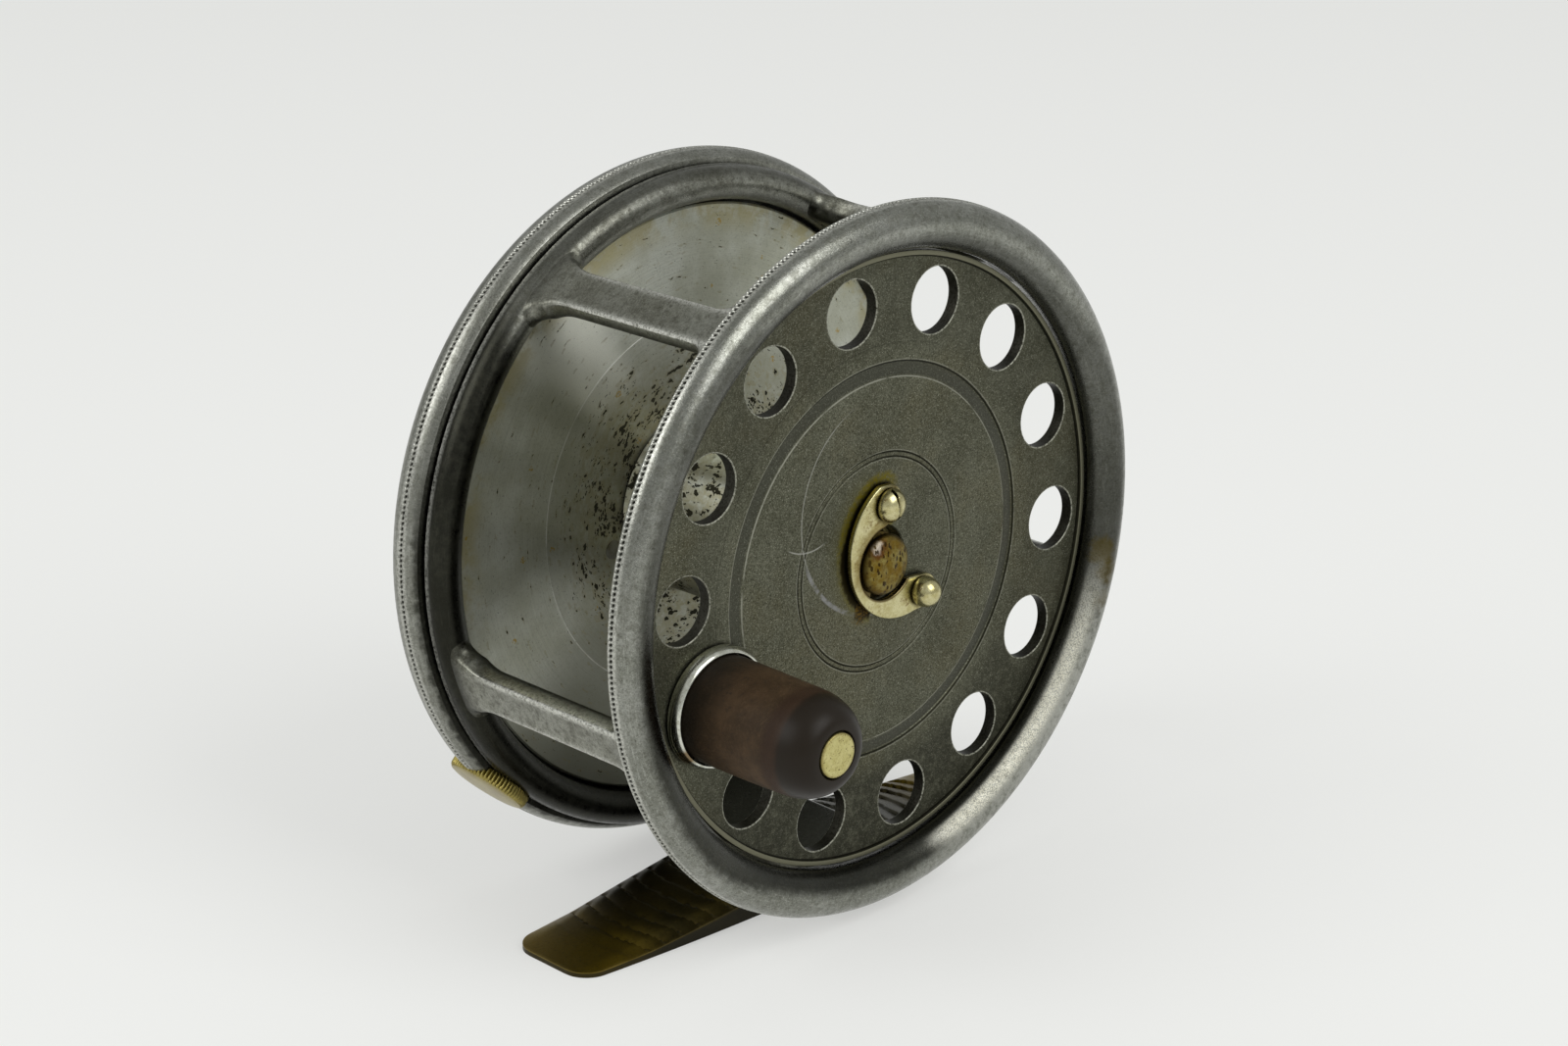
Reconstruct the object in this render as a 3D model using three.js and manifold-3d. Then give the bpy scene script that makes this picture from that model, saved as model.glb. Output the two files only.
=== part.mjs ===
// Fly reel with a five-pillar cage, a perforated spool held by a horseshoe latch, and a check with a
// thumb-screw regulator. Millimetres, +Z up. The origin is the middle of the foot's underside.
// Inside the group "reel" the Y axis is the spool axis, +Y runs to the back, and y = 0 is the middle of
// the front ring's bead.
import * as THREE from "three";
import { mergeVertices } from "three/addons/utils/BufferGeometryUtils.js";
import Module from "manifold-3d";

const wasm = await Module();
wasm.setup();

// ---- driving dimensions ----
const AXIS_HEIGHT = 53; // spool axis above the foot's underside
const FOOT_SETBACK = 20.2; // front bead to the foot's centre line
const GAP = 0.3; // clearance between touching pieces
const SIDES = 48; // segments of a large round piece

const FRONT_RING_OUTER = 50.8; // nominal four-inch reel
const FRONT_RING_BEAD = 3.4; // bead radius; only its front half is there
const FRONT_ROOT = { inner: 44.4, outer: 48.5, back: 2.4 }; // behind the bead, where the pillars start
const REAR_RING = { inner: 44.1, outer: 49.1, front: 35.1, back: 38.6 };
const PLATE = { rim: 51.1, cavity: 44.2, front: 38.9, floor: 44.4, back: 46 };

const PILLAR = { inner: 44.7, outer: 48.5, width: 6 };
const PILLAR_ANGLES = { pillar_upper_left: 127, pillar_upper_right: 55, pillar_left: 199, pillar_right: -17 };
const CAGE_SCREW_ANGLES = [127, 55, 199, -17, 270];
const CAGE_SCREW_RADIUS = 46;

const FOOT = { half: 44.3, halfWidth: 9.5, tipHalfWidth: 7.4, tipThickness: 0.8, thickness: 3.9, flat: 12 };
const SADDLE_HALF = 9; // foot pillar, half its length along the foot
const SADDLE_TOP = -44.6;

const SPOOL_RADIUS = 43.6;
const FACE = { front: 0.7, back: 2.6, lipInner: 42.9, lipFront: 0.25, bore: 5.3 };
const HOLE_COUNT = 14; // equal places, one of them taken by the handle
const HOLE_PLACE = 10; // the handle's place, counted clockwise from the first hole
const HOLE_CIRCLE = 36.84;
const HOLE_RADIUS = 4.7;
const FIRST_HOLE_ANGLE = 99.2;
const REAR_FLANGE = { front: 38, back: 39.4 };
const LINE_HOLE = { circle: 15.8, angle: 195, radius: 1.4 };
const ARBOR_RADIUS = 13;
const BUSH = { outer: 7, inner: 4.7 };

const SPINDLE = { radius: 4.35, groove: 3.5, rim: -1.3, tip: -1.9, foot: 6.5, footFront: 42.9 };
const WHEEL = { teeth: 24, tip: 13, root: 11.5, front: 39.7, back: 41.3, screwCircle: 8.7 };

const HANDLE = { x: -31.4, z: -12.3, base: 7.5, shoulder: 7.3, length: 22.2, pin: 1.9, head: 3.05 };
const FERRULE = { outer: 8.65, inner: 7.8, front: -1.38 };

const LATCH = { front: -0.55, back: 0.35, pivot: [0.7, 8.5], knob: [7.7, -5.75] };
const LATCH_OUTER_ARC = { x: 4.1, z: 1.95, radius: 10.7 };

const MECHANISM_ANGLE = 225; // the regulator's direction from the spool axis
const PAWL = { pivot: 18.6, tip: 12.1, tail: 22.6, front: 39.8, back: 41.3 };
const KNOB = { radius: 6.1, inner: 48.9, outer: 51.1, y: 42.5, notches: 48 };

// ---- helpers ----
const rad = THREE.MathUtils.degToRad;
const polar = (radius, degrees) => [radius * Math.cos(rad(degrees)), radius * Math.sin(rad(degrees))];

// A three.js geometry as a manifold solid, turned inside out if its faces point inwards.
function solid(geometry, matrix = new THREE.Matrix4()) {
  const bare = new THREE.BufferGeometry();
  const source = geometry.index ? geometry.toNonIndexed() : geometry;
  bare.setAttribute("position", source.getAttribute("position").clone());
  const merged = mergeVertices(bare.applyMatrix4(matrix), 1e-4);
  const corners = merged.index.array;
  const kept = [];
  for (let i = 0; i < corners.length; i += 3) {
    const [a, b, c] = corners.slice(i, i + 3);
    if (a !== b && b !== c && c !== a) kept.push(a, b, c);
  }
  const make = (triVerts) =>
    new wasm.Manifold(new wasm.Mesh({ numProp: 3, vertProperties: merged.attributes.position.array, triVerts }));
  const made = make(new Uint32Array(kept));
  return made.volume() > 0 ? made : make(new Uint32Array(kept).reverse());
}

// A manifold solid as a three.js geometry with flat faces.
function geometryOf(made) {
  const mesh = made.getMesh();
  const indexed = new THREE.BufferGeometry();
  indexed.setAttribute("position", new THREE.BufferAttribute(new Float32Array(mesh.vertProperties), 3));
  indexed.setIndex(new THREE.BufferAttribute(new Uint32Array(mesh.triVerts), 1));
  const faceted = indexed.toNonIndexed();
  faceted.computeVertexNormals();
  return faceted;
}

// A round piece about the Y axis, from a closed outline of [radius, y] points.
function turned(outline, sides = SIDES) {
  const points = [...outline, outline[0]].map(([r, y]) => new THREE.Vector2(r, y));
  return solid(new THREE.LatheGeometry(points, sides));
}

// A cylinder along Y from y0 to y1, centred at x, z.
function rod(radius, y0, y1, [x, z] = [0, 0], sides = 16) {
  const cylinder = new THREE.CylinderGeometry(radius, radius, Math.abs(y1 - y0), sides);
  return solid(cylinder, new THREE.Matrix4().makeTranslation(x, (y0 + y1) / 2, z));
}

// A cylinder along the radial direction at `degrees`, from radius r0 to r1, at depth y.
function spoke(radius, r0, r1, y, degrees, sides = 16) {
  const cylinder = new THREE.CylinderGeometry(radius, radius, r1 - r0, sides);
  return solid(cylinder, new THREE.Matrix4().makeTranslation(0, (r0 + r1) / 2, 0).premultiply(radial(y, degrees)));
}

// Carries +Y to the radial direction at `degrees`, and +Z to the spool axis, at depth y.
function radial(y, degrees) {
  const [cos, sin] = polar(1, degrees);
  const matrix = new THREE.Matrix4().makeBasis(
    new THREE.Vector3(sin, 0, -cos).negate(),
    new THREE.Vector3(cos, 0, sin),
    new THREE.Vector3(0, -1, 0),
  );
  return matrix.setPosition(0, y, 0);
}

// A flat outline of [x, z] points, thickened from y0 to y1.
function slab(outline, y0, y1) {
  const shape = new THREE.Shape(outline.map(([x, z]) => new THREE.Vector2(x, -z)));
  const flat = new THREE.ExtrudeGeometry(shape, { depth: y1 - y0, bevelEnabled: false });
  const matrix = new THREE.Matrix4().makeRotationX(-Math.PI / 2);
  return solid(flat, matrix.premultiply(new THREE.Matrix4().makeTranslation(0, y0, 0)));
}

// Points on an arc about [x, z], from one angle to another in degrees.
function arc(x, z, radius, from, to, steps) {
  const points = [];
  for (let i = 0; i <= steps; i++) {
    const [dx, dz] = polar(radius, from + ((to - from) * i) / steps);
    points.push([x + dx, z + dz]);
  }
  return points;
}

// Screw with a domed head: the head rises from y = seat towards `out` (-1 front, +1 back).
function domedScrew(headRadius, headHeight, shankRadius, shankLength, seat, out, at) {
  const rise = (share) => seat + out * headHeight * share;
  const outline = [
    [0, seat - out * shankLength],
    [shankRadius, seat - out * shankLength],
    [shankRadius, seat],
    [headRadius, seat],
    [headRadius * 0.92, rise(0.45)],
    [headRadius * 0.6, rise(0.85)],
    [0, rise(1)],
  ];
  const [x, z] = at;
  const screw = solid(new THREE.LatheGeometry([...outline].map(([r, y]) => new THREE.Vector2(r, y)), 16));
  const slotWidth = headRadius * 0.22;
  const slot = solid(
    new THREE.BoxGeometry(slotWidth, headHeight, headRadius * 3),
    new THREE.Matrix4().makeTranslation(0, rise(1), 0),
  );
  return screw.subtract(slot).translate([x, 0, z]);
}

// ---- colours ----
const finish = (color, roughness, metalness) => new THREE.MeshStandardMaterial({ color, roughness, metalness });
const AGED = finish(0x6d6e6a, 0.42, 1);
const DARK = finish(0x55554c, 0.5, 1);
const BRIGHT = finish(0xb4b6b2, 0.32, 1);
const BRASS = finish(0xc2b078, 0.3, 1);
const BRONZE = finish(0x3f3418, 0.38, 1);
const RUST = finish(0x7c6234, 0.5, 1);
const NICKEL = finish(0xb9b9b4, 0.2, 1);
const STEEL = finish(0x8d9094, 0.35, 1);
const GRIP = finish(0x3a2a22, 0.4, 0);

const root = new THREE.Group();
const reel = new THREE.Group();
reel.position.set(0, -FOOT_SETBACK, AXIS_HEIGHT);
root.add(reel);

function add(name, made, material, group = reel) {
  const mesh = new THREE.Mesh(geometryOf(made), material);
  mesh.name = name;
  group.add(mesh);
}

// ---- cage: one casting, kept as its rings and pillars ----
const knobPocket = spoke(KNOB.radius + 0.5, KNOB.inner - GAP, 56, KNOB.y, MECHANISM_ANGLE, 24);
const cageScrewPlaces = CAGE_SCREW_ANGLES.map((angle) => polar(CAGE_SCREW_RADIUS, angle));

function frontRing() {
  const middle = FRONT_RING_OUTER - FRONT_RING_BEAD;
  const { inner, outer, back } = FRONT_ROOT;
  return turned([...arc(middle, 0, FRONT_RING_BEAD, 180, 360, 7), [outer, 0], [outer, back], [inner, back], [inner, 0]]);
}

function rearRing() {
  const { inner, outer, front, back } = REAR_RING;
  const middle = (inner + outer) / 2;
  let ring = turned([
    [inner, back],
    [inner, front + 1.7],
    [inner + 0.9, front + 0.5],
    [middle, front],
    [outer - 0.9, front + 0.5],
    [outer, front + 1.7],
    [outer, back],
  ]);
  for (const place of cageScrewPlaces) ring = ring.subtract(rod(1.4, front + 1.4, back + 1, place, 10));
  return ring.subtract(knobPocket);
}

function pillar(angle) {
  const { inner, outer, width } = PILLAR;
  const front = FRONT_ROOT.back + GAP;
  const length = REAR_RING.front - GAP - front;
  const half = width / 2;
  const section = new THREE.Shape();
  section.moveTo(-half, outer - 0.3);
  section.lineTo(-half + 0.3, outer);
  section.lineTo(half - 0.3, outer);
  section.lineTo(half, outer - 0.3);
  section.absarc(half - 1.9, inner + 1.9, 1.9, 0, -Math.PI / 2, true);
  section.absarc(-half + 1.9, inner + 1.9, 1.9, -Math.PI / 2, -Math.PI, true);
  const bar = new THREE.ExtrudeGeometry(section, { depth: length, bevelEnabled: false, curveSegments: 4 });
  return solid(bar, radial(front + length, angle));
}

add("front_ring", frontRing(), AGED);
add("cage_rear_ring", rearRing(), AGED);
for (const [name, angle] of Object.entries(PILLAR_ANGLES)) add(name, pillar(angle), AGED);

// ---- back plate ----
function backPlate() {
  const { rim, cavity, front, floor, back } = PLATE;
  let plate = turned([
    [0, back],
    [rim - 3.7, back],
    [rim - 1.9, back - 1.2],
    [rim - 0.7, back - 2.6],
    [rim, back - 4.4],
    [rim - 0.7, back - 6.2],
    [rim - 1.7, front],
    [cavity, front],
    [cavity, floor],
    [0, floor],
  ]);
  plate = plate.subtract(rod(1.5, floor - 1, back + 1));
  plate = plate.subtract(knobPocket).subtract(spoke(1.6, cavity - 1, rim, KNOB.y, MECHANISM_ANGLE));
  for (const place of cageScrewPlaces) {
    plate = plate.subtract(rod(1.4, front - 1, back, place, 10)).subtract(rod(2.3, back - 1.2, back + 1, place));
  }
  return plate;
}

add("back_plate", backPlate(), AGED);
cageScrewPlaces.forEach((place, i) => {
  const screw = domedScrew(1.95, 1, 1.05, 8, PLATE.back - 0.9, 1, place);
  add("cage_screw_" + (i + 1), screw, STEEL);
});

// ---- foot and its pillar ----
const FOOT_SCREW_PLACES = [-1, 1].flatMap((sx) => [-1, 1].map((sy) => [5.4 * sx, 5.6 * sy]));

function footPillar() {
  const front = FRONT_ROOT.back + GAP;
  const back = REAR_RING.front - GAP;
  const bottom = FOOT.thickness + GAP - AXIS_HEIGHT;
  const bar = solid(
    new THREE.BoxGeometry(2 * SADDLE_HALF, back - front, SADDLE_TOP - bottom),
    new THREE.Matrix4().makeTranslation(0, (front + back) / 2, (SADDLE_TOP + bottom) / 2),
  );
  const holes = FOOT_SCREW_PLACES.map(([x, y]) =>
    solid(
      new THREE.CylinderGeometry(1.45, 1.45, 8, 12).rotateX(Math.PI / 2),
      new THREE.Matrix4().makeTranslation(x, y + FOOT_SETBACK, bottom - 1),
    ),
  );
  return holes.reduce((made, hole) => made.subtract(hole), bar);
}

// Seen from above: sides that bow out from the tips to the middle, with rounded tip corners.
function footOutline() {
  const { half, halfWidth, tipHalfWidth } = FOOT;
  const corner = 3.4;
  const steps = 10;
  const side = [];
  for (let i = 0; i <= steps; i++) {
    const x = (half - corner) * ((2 * i) / steps - 1);
    const away = Math.abs(x) / (half - corner);
    side.push([x, halfWidth - (halfWidth - tipHalfWidth - 0.4) * away ** 2.2]);
  }
  const end = side[side.length - 1][1];
  const tip = arc(half - corner, end - corner, corner, 75, 0, 4);
  const right = [...side, ...tip];
  return [...right, ...right.map(([x, y]) => [x, -y]).reverse().filter(([x]) => x > 0),
    ...side.map(([x, y]) => [x, -y]).reverse().filter(([x]) => x <= 0),
    ...tip.map(([x, y]) => [-x, -y]), ...tip.map(([x, y]) => [-x, y]).reverse()];
}

// Seen from the front: flat below, thick over the middle and thinning to the tips.
function footProfile() {
  const { half, tipThickness, thickness, flat } = FOOT;
  const rise = (x) => {
    const share = Math.min(1, (half - Math.abs(x)) / (half - flat));
    return tipThickness + (thickness - tipThickness) * share ** 1.15;
  };
  const stations = [-1, -0.84, -0.68, -0.54, -0.4, -flat / half, flat / half, 0.4, 0.54, 0.68, 0.84, 1];
  const top = stations.map((share) => [share * half, rise(share * half)]);
  return [[-half, 0], ...top, [half, 0]];
}

function foot() {
  const plan = new THREE.Shape(footOutline().map(([x, y]) => new THREE.Vector2(x, y)));
  const block = solid(new THREE.ExtrudeGeometry(plan, { depth: 6, bevelEnabled: false }));
  const wedge = slab(footProfile(), -12, 12);
  let made = block.intersect(wedge);
  for (const [x, y] of FOOT_SCREW_PLACES) {
    const sink = new THREE.CylinderGeometry(1.5, 3.1, 1.7, 16).rotateX(Math.PI / 2);
    const hole = new THREE.CylinderGeometry(1.5, 1.5, 8, 16).rotateX(Math.PI / 2);
    made = made.subtract(solid(sink, new THREE.Matrix4().makeTranslation(x, y, 0.8)));
    made = made.subtract(solid(hole, new THREE.Matrix4().makeTranslation(x, y, 2)));
  }
  return made;
}

function footScrew([x, y]) {
  const outline = [[0, 0.2], [2.6, 0.2], [1.1, 1.75], [1.1, 6.2], [0, 6.2]];
  const screw = solid(
    new THREE.LatheGeometry(outline.map(([r, z]) => new THREE.Vector2(r, z)), 16).rotateX(Math.PI / 2),
  );
  const slot = solid(new THREE.BoxGeometry(0.6, 6, 0.9));
  return screw.subtract(slot).translate([x, y, 0]);
}

add("foot_pillar", footPillar(), AGED);
add("foot", foot(), BRONZE, root);
FOOT_SCREW_PLACES.forEach((place, i) => add("foot_screw_" + (i + 1), footScrew(place), BRASS, root));

// ---- spindle ----
function spindle() {
  const { radius, groove, rim, tip, foot: base, footFront } = SPINDLE;
  const end = PLATE.floor - GAP;
  const shaft = turned([
    [0, tip],
    [radius * 0.55, tip + 0.12],
    [radius, rim],
    [radius, -0.4],
    [groove, -0.4],
    [groove, 0.8],
    [radius, 0.8],
    [radius, footFront],
    [base, footFront],
    [base, end],
    [0, end],
  ], 32);
  return shaft.subtract(rod(1.5, 34, end + 1));
}

add("spindle", spindle(), RUST);
add("spindle_screw", domedScrew(4, 1.2, 1.15, 10, PLATE.back + GAP, 1, [0, 0]), STEEL);

// ---- spool ----
const holeAngle = (place) => FIRST_HOLE_ANGLE - (place * 360) / HOLE_COUNT;
const wheelScrewPlaces = [0, 120, 240].map((angle) => polar(WHEEL.screwCircle, angle + 30));

function spoolFace() {
  const { front, back, lipInner, lipFront, bore } = FACE;
  let plate = turned([
    [bore, back],
    [bore, front],
    [lipInner, front],
    [lipInner, lipFront],
    [SPOOL_RADIUS, lipFront],
    [SPOOL_RADIUS, back],
  ]);
  for (let place = 0; place < HOLE_COUNT; place++) {
    if (place === HOLE_PLACE) continue;
    plate = plate.subtract(rod(HOLE_RADIUS, front - 1, back + 1, polar(HOLE_CIRCLE, holeAngle(place)), 24));
  }
  plate = plate.subtract(rod(HANDLE.pin + GAP, front - 1, back + 1, [HANDLE.x, HANDLE.z]));
  return plate.subtract(rod(1.4, front - 1, back + 1, LATCH.pivot));
}

function arbor() {
  const front = FACE.back + GAP;
  const back = REAR_FLANGE.front - GAP;
  const bore = BUSH.outer + GAP;
  return turned([
    [bore, front],
    [8.4, front],
    [8.4, front + 2.6],
    [12, front + 2.6],
    [12, front],
    [ARBOR_RADIUS, front],
    [ARBOR_RADIUS, back],
    [bore, back],
  ], 32);
}

function rearFlange() {
  const { front, back } = REAR_FLANGE;
  const bore = BUSH.outer + GAP;
  let flange = turned([[bore, front], [SPOOL_RADIUS, front], [SPOOL_RADIUS, back], [bore, back]]);
  flange = flange.subtract(rod(LINE_HOLE.radius, front - 1, back + 1, polar(LINE_HOLE.circle, LINE_HOLE.angle)));
  for (const place of wheelScrewPlaces) flange = flange.subtract(rod(1, front - 1, back + 1, place, 10));
  return flange;
}

function bush() {
  const front = FACE.back + GAP;
  const back = REAR_FLANGE.back - 0.1;
  return turned([[BUSH.inner, front], [BUSH.outer, front], [BUSH.outer, back], [BUSH.inner, back]], 32);
}

add("spool_face", spoolFace(), DARK);
add("spool_arbor", arbor(), BRIGHT);
add("spool_rear_flange", rearFlange(), BRIGHT);
add("spool_bush", bush(), BRASS);

// ---- check wheel, with one tooth gap facing the pawl ----
function checkWheel() {
  const { teeth, tip, root: low, front, back } = WHEEL;
  const pitch = 360 / teeth;
  const outline = [];
  for (let i = 0; i < teeth; i++) {
    const at = MECHANISM_ANGLE + i * pitch;
    outline.push(polar(low, at - 0.24 * pitch), polar(low, at + 0.24 * pitch));
    outline.push(polar(tip, at + 0.44 * pitch), polar(tip, at + 0.56 * pitch));
  }
  let wheel = slab(outline, front, back).subtract(rod(5.2, front - 1, back + 1, [0, 0], 24));
  for (const place of wheelScrewPlaces) wheel = wheel.subtract(rod(1, front - 1, back + 1, place, 10));
  return wheel;
}

add("check_wheel", checkWheel(), BRASS);
wheelScrewPlaces.forEach((place, i) => {
  const screw = domedScrew(1.6, 0.7, 0.7, 3.2, WHEEL.back + GAP, 1, place);
  add("check_wheel_screw_" + (i + 1), screw, STEEL);
});

// ---- latch ----
function latchPlate() {
  const { x, z, radius } = LATCH_OUTER_ARC;
  const [px, pz] = LATCH.pivot;
  const [kx, kz] = LATCH.knob;
  const eye = 2.85;
  const outer = arc(x, z, radius, 118, 283, 22);
  const knobEnd = arc(kx + 0.6, kz - 0.2, 2.5, -75, 95, 7);
  const inner = arc(0.65, 0, 5.3, -38, -262, 20);
  const pivotEnd = arc(px, pz, eye, -50, 90, 7);
  const plate = slab([...outer, ...knobEnd, ...inner, ...pivotEnd], LATCH.front, LATCH.back);
  const lip = slab(
    [...arc(0.65, 0, 5.8, 150, 240, 8), ...arc(0.35, 0, 4.3, 236, 154, 8)],
    -0.05,
    LATCH.back,
  );
  let made = plate.add(lip);
  made = made.subtract(rod(1.35, -2, 2, LATCH.pivot));
  return made.subtract(rod(1.2, -2, 2, LATCH.knob));
}

function latchKnob() {
  const [x, z] = LATCH.knob;
  const neck = LATCH.front - GAP;
  const ball = solid(new THREE.SphereGeometry(2.2, 20, 12), new THREE.Matrix4().makeTranslation(x, -1.4, z));
  return ball.subtract(rod(4, neck, neck + 4, LATCH.knob)).add(rod(0.9, neck - 1, LATCH.back, LATCH.knob, 12));
}

function latchSpring() {
  const section = new THREE.Shape().absarc(0, 0, 0.4, 0, 2 * Math.PI);
  const start = 40;
  const route = arc(0, 0, 10.2, start, start + 200, 20).map(([x, z]) => new THREE.Vector3(x, 4.1, z));
  const wire = new THREE.ExtrudeGeometry(section, {
    extrudePath: new THREE.CatmullRomCurve3(route),
    steps: 24,
    curveSegments: 3,
  });
  return solid(wire);
}

add("latch_plate", latchPlate(), BRASS);
add("latch_knob", latchKnob(), BRASS);
add("latch_pivot_screw", domedScrew(2.4, 1.5, 1, 3.1, LATCH.front - GAP, -1, LATCH.pivot), BRASS);
add("latch_spring", latchSpring(), STEEL);

// ---- handle ----
const handlePlace = [HANDLE.x, HANDLE.z];

function ferrule() {
  const seat = FACE.front - GAP;
  const { outer, inner, front } = FERRULE;
  const bore = HANDLE.pin + GAP;
  return turned([
    [bore, seat],
    [outer, seat],
    [outer, -0.4],
    [outer - 0.4, front + 0.2],
    [outer - 0.7, front],
    [inner, front + 0.1],
    [inner, -0.25],
    [bore, -0.25],
  ], 36).translate([HANDLE.x, 0, HANDLE.z]);
}

function grip() {
  const { base, shoulder, length, pin, head } = HANDLE;
  const start = -0.25 - GAP;
  const bore = pin + GAP;
  const pocket = head + GAP;
  return turned([
    [bore, start],
    [base, start],
    [base - 0.05, -8],
    [shoulder, -16.6],
    [shoulder - 0.35, -19.4],
    [shoulder - 1.2, -21.1],
    [shoulder - 2.6, -22.05],
    [pocket, -length],
    [pocket, -length + 1.3],
    [bore, -length + 1.3],
  ], 36).translate([HANDLE.x, 0, HANDLE.z]);
}

function handlePin() {
  const { pin, head, length } = HANDLE;
  const under = -length + 1;
  return turned([
    [0, FACE.back - 0.4],
    [pin, FACE.back - 0.4],
    [pin, under],
    [head, under],
    [head, -length - 0.05],
    [head * 0.7, -length - 0.2],
    [0, -length - 0.3],
  ], 24).translate([HANDLE.x, 0, HANDLE.z]);
}

add("handle_ferrule", ferrule(), NICKEL);
add("handle_grip", grip(), GRIP);
add("handle_pin", handlePin(), BRASS);

// ---- check pawl, its spring and the regulator: drawn outwards along the mechanism's direction ----
const OUT = polar(1, MECHANISM_ANGLE);
const ACROSS = [-OUT[1], OUT[0]];
const place = (out, across) => [out * OUT[0] + across * ACROSS[0], out * OUT[1] + across * ACROSS[1]];

function checkPawl() {
  const { pivot, tip, tail, front, back } = PAWL;
  const outline = [[tip, -0.35], [tip, 0.35], [pivot - 1.5, 2.6], [pivot + 1.5, 2.6], [tail, 1.2], [tail, -1.2],
    [pivot + 1.5, -2.6], [pivot - 1.5, -2.6]];
  return slab(outline.map(([out, across]) => place(out, across)), front, back)
    .subtract(rod(1.6, front - 1, back + 1, place(pivot, 0)));
}

function pawlStud() {
  const shoulder = PAWL.back + GAP;
  const outline = [[0, PAWL.front], [1.25, PAWL.front], [1.25, shoulder], [2.4, shoulder],
    [2.4, PLATE.floor - GAP], [0, PLATE.floor - GAP]];
  const [x, z] = place(PAWL.pivot, 0);
  return turned(outline, 20).translate([x, 0, z]);
}

// A leaf spring bowed towards the pawl's tail, its ends resting on two posts.
function checkSpring() {
  const leaf = 0.5;
  const bow = (across) => PAWL.tail + 0.5 + 5 * (across / 9) ** 2;
  const along = [-9, -6.5, -4, -2, 0, 2, 4, 6.5, 9];
  const inner = along.map((across) => place(bow(across), across));
  const outer = along.map((across) => place(bow(across) + leaf, across)).reverse();
  return slab([...inner, ...outer], 40, 43.2);
}

function regulatorBracket() {
  const [x, z] = place(36, 0);
  const box = new THREE.BoxGeometry(7, PLATE.floor - GAP - 40.4, 4);
  const turn = new THREE.Matrix4().makeRotationY(rad(90 - MECHANISM_ANGLE));
  const middle = (PLATE.floor - GAP + 40.4) / 2;
  return solid(box, turn.premultiply(new THREE.Matrix4().makeTranslation(x, middle, z)))
    .subtract(spoke(1.6, 30, 42, KNOB.y, MECHANISM_ANGLE));
}

function regulatorKnob() {
  const { radius, inner, outer, y, notches } = KNOB;
  const rim = [];
  for (let i = 0; i < 2 * notches; i++) {
    rim.push(polar(i % 2 ? radius : radius - 0.28, (i * 180) / notches));
  }
  const disc = new THREE.ExtrudeGeometry(
    new THREE.Shape(rim.map(([a, b]) => new THREE.Vector2(a, b))),
    { depth: outer - inner, bevelEnabled: false },
  ).rotateX(-Math.PI / 2);
  return solid(disc, radial(y, MECHANISM_ANGLE).multiply(new THREE.Matrix4().makeTranslation(0, inner, 0)));
}

add("check_pawl", checkPawl(), STEEL);
add("pawl_stud", pawlStud(), STEEL);
add("check_spring", checkSpring(), STEEL);
for (const [side, across] of [["upper", -8], ["lower", 8]]) {
  const along = PAWL.tail - 1.2 + 5 * (8 / 9) ** 2;
  add("spring_post_" + side, rod(1.1, 40, PLATE.floor - GAP, place(along, across)), STEEL);
}
add("regulator_bracket", regulatorBracket(), STEEL);
add("regulator_knob", regulatorKnob(), BRASS);
add("regulator_screw", spoke(1.25, PAWL.tail + 1.4, KNOB.inner - GAP, KNOB.y, MECHANISM_ANGLE), STEEL);

export default root;
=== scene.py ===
"""Looks of a fly reel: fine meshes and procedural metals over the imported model."""

from math import copysign, cos, degrees, hypot, pi, radians, sin, sqrt

import bmesh
import bpy
import numpy as np
from mathutils import Matrix, Vector, noise


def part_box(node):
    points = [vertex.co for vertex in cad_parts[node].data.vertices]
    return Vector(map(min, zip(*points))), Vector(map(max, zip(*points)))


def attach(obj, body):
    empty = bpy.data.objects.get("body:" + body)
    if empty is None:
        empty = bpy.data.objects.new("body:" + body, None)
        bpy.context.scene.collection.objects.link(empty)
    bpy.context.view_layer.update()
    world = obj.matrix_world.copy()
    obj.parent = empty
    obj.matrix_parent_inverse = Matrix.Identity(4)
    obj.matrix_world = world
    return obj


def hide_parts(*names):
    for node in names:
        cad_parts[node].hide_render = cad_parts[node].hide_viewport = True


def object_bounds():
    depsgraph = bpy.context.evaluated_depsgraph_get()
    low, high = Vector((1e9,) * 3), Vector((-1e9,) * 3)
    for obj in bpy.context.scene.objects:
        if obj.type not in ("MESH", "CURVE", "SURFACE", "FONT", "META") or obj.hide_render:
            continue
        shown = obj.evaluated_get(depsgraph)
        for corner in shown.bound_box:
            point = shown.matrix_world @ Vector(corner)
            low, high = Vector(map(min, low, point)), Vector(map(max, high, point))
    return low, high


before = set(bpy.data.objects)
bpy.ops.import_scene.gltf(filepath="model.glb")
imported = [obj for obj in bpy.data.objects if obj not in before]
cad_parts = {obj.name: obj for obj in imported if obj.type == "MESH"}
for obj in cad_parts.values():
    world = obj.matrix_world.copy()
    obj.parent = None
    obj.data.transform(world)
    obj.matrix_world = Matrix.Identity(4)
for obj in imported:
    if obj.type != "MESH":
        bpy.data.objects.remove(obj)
cad_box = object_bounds()

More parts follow.
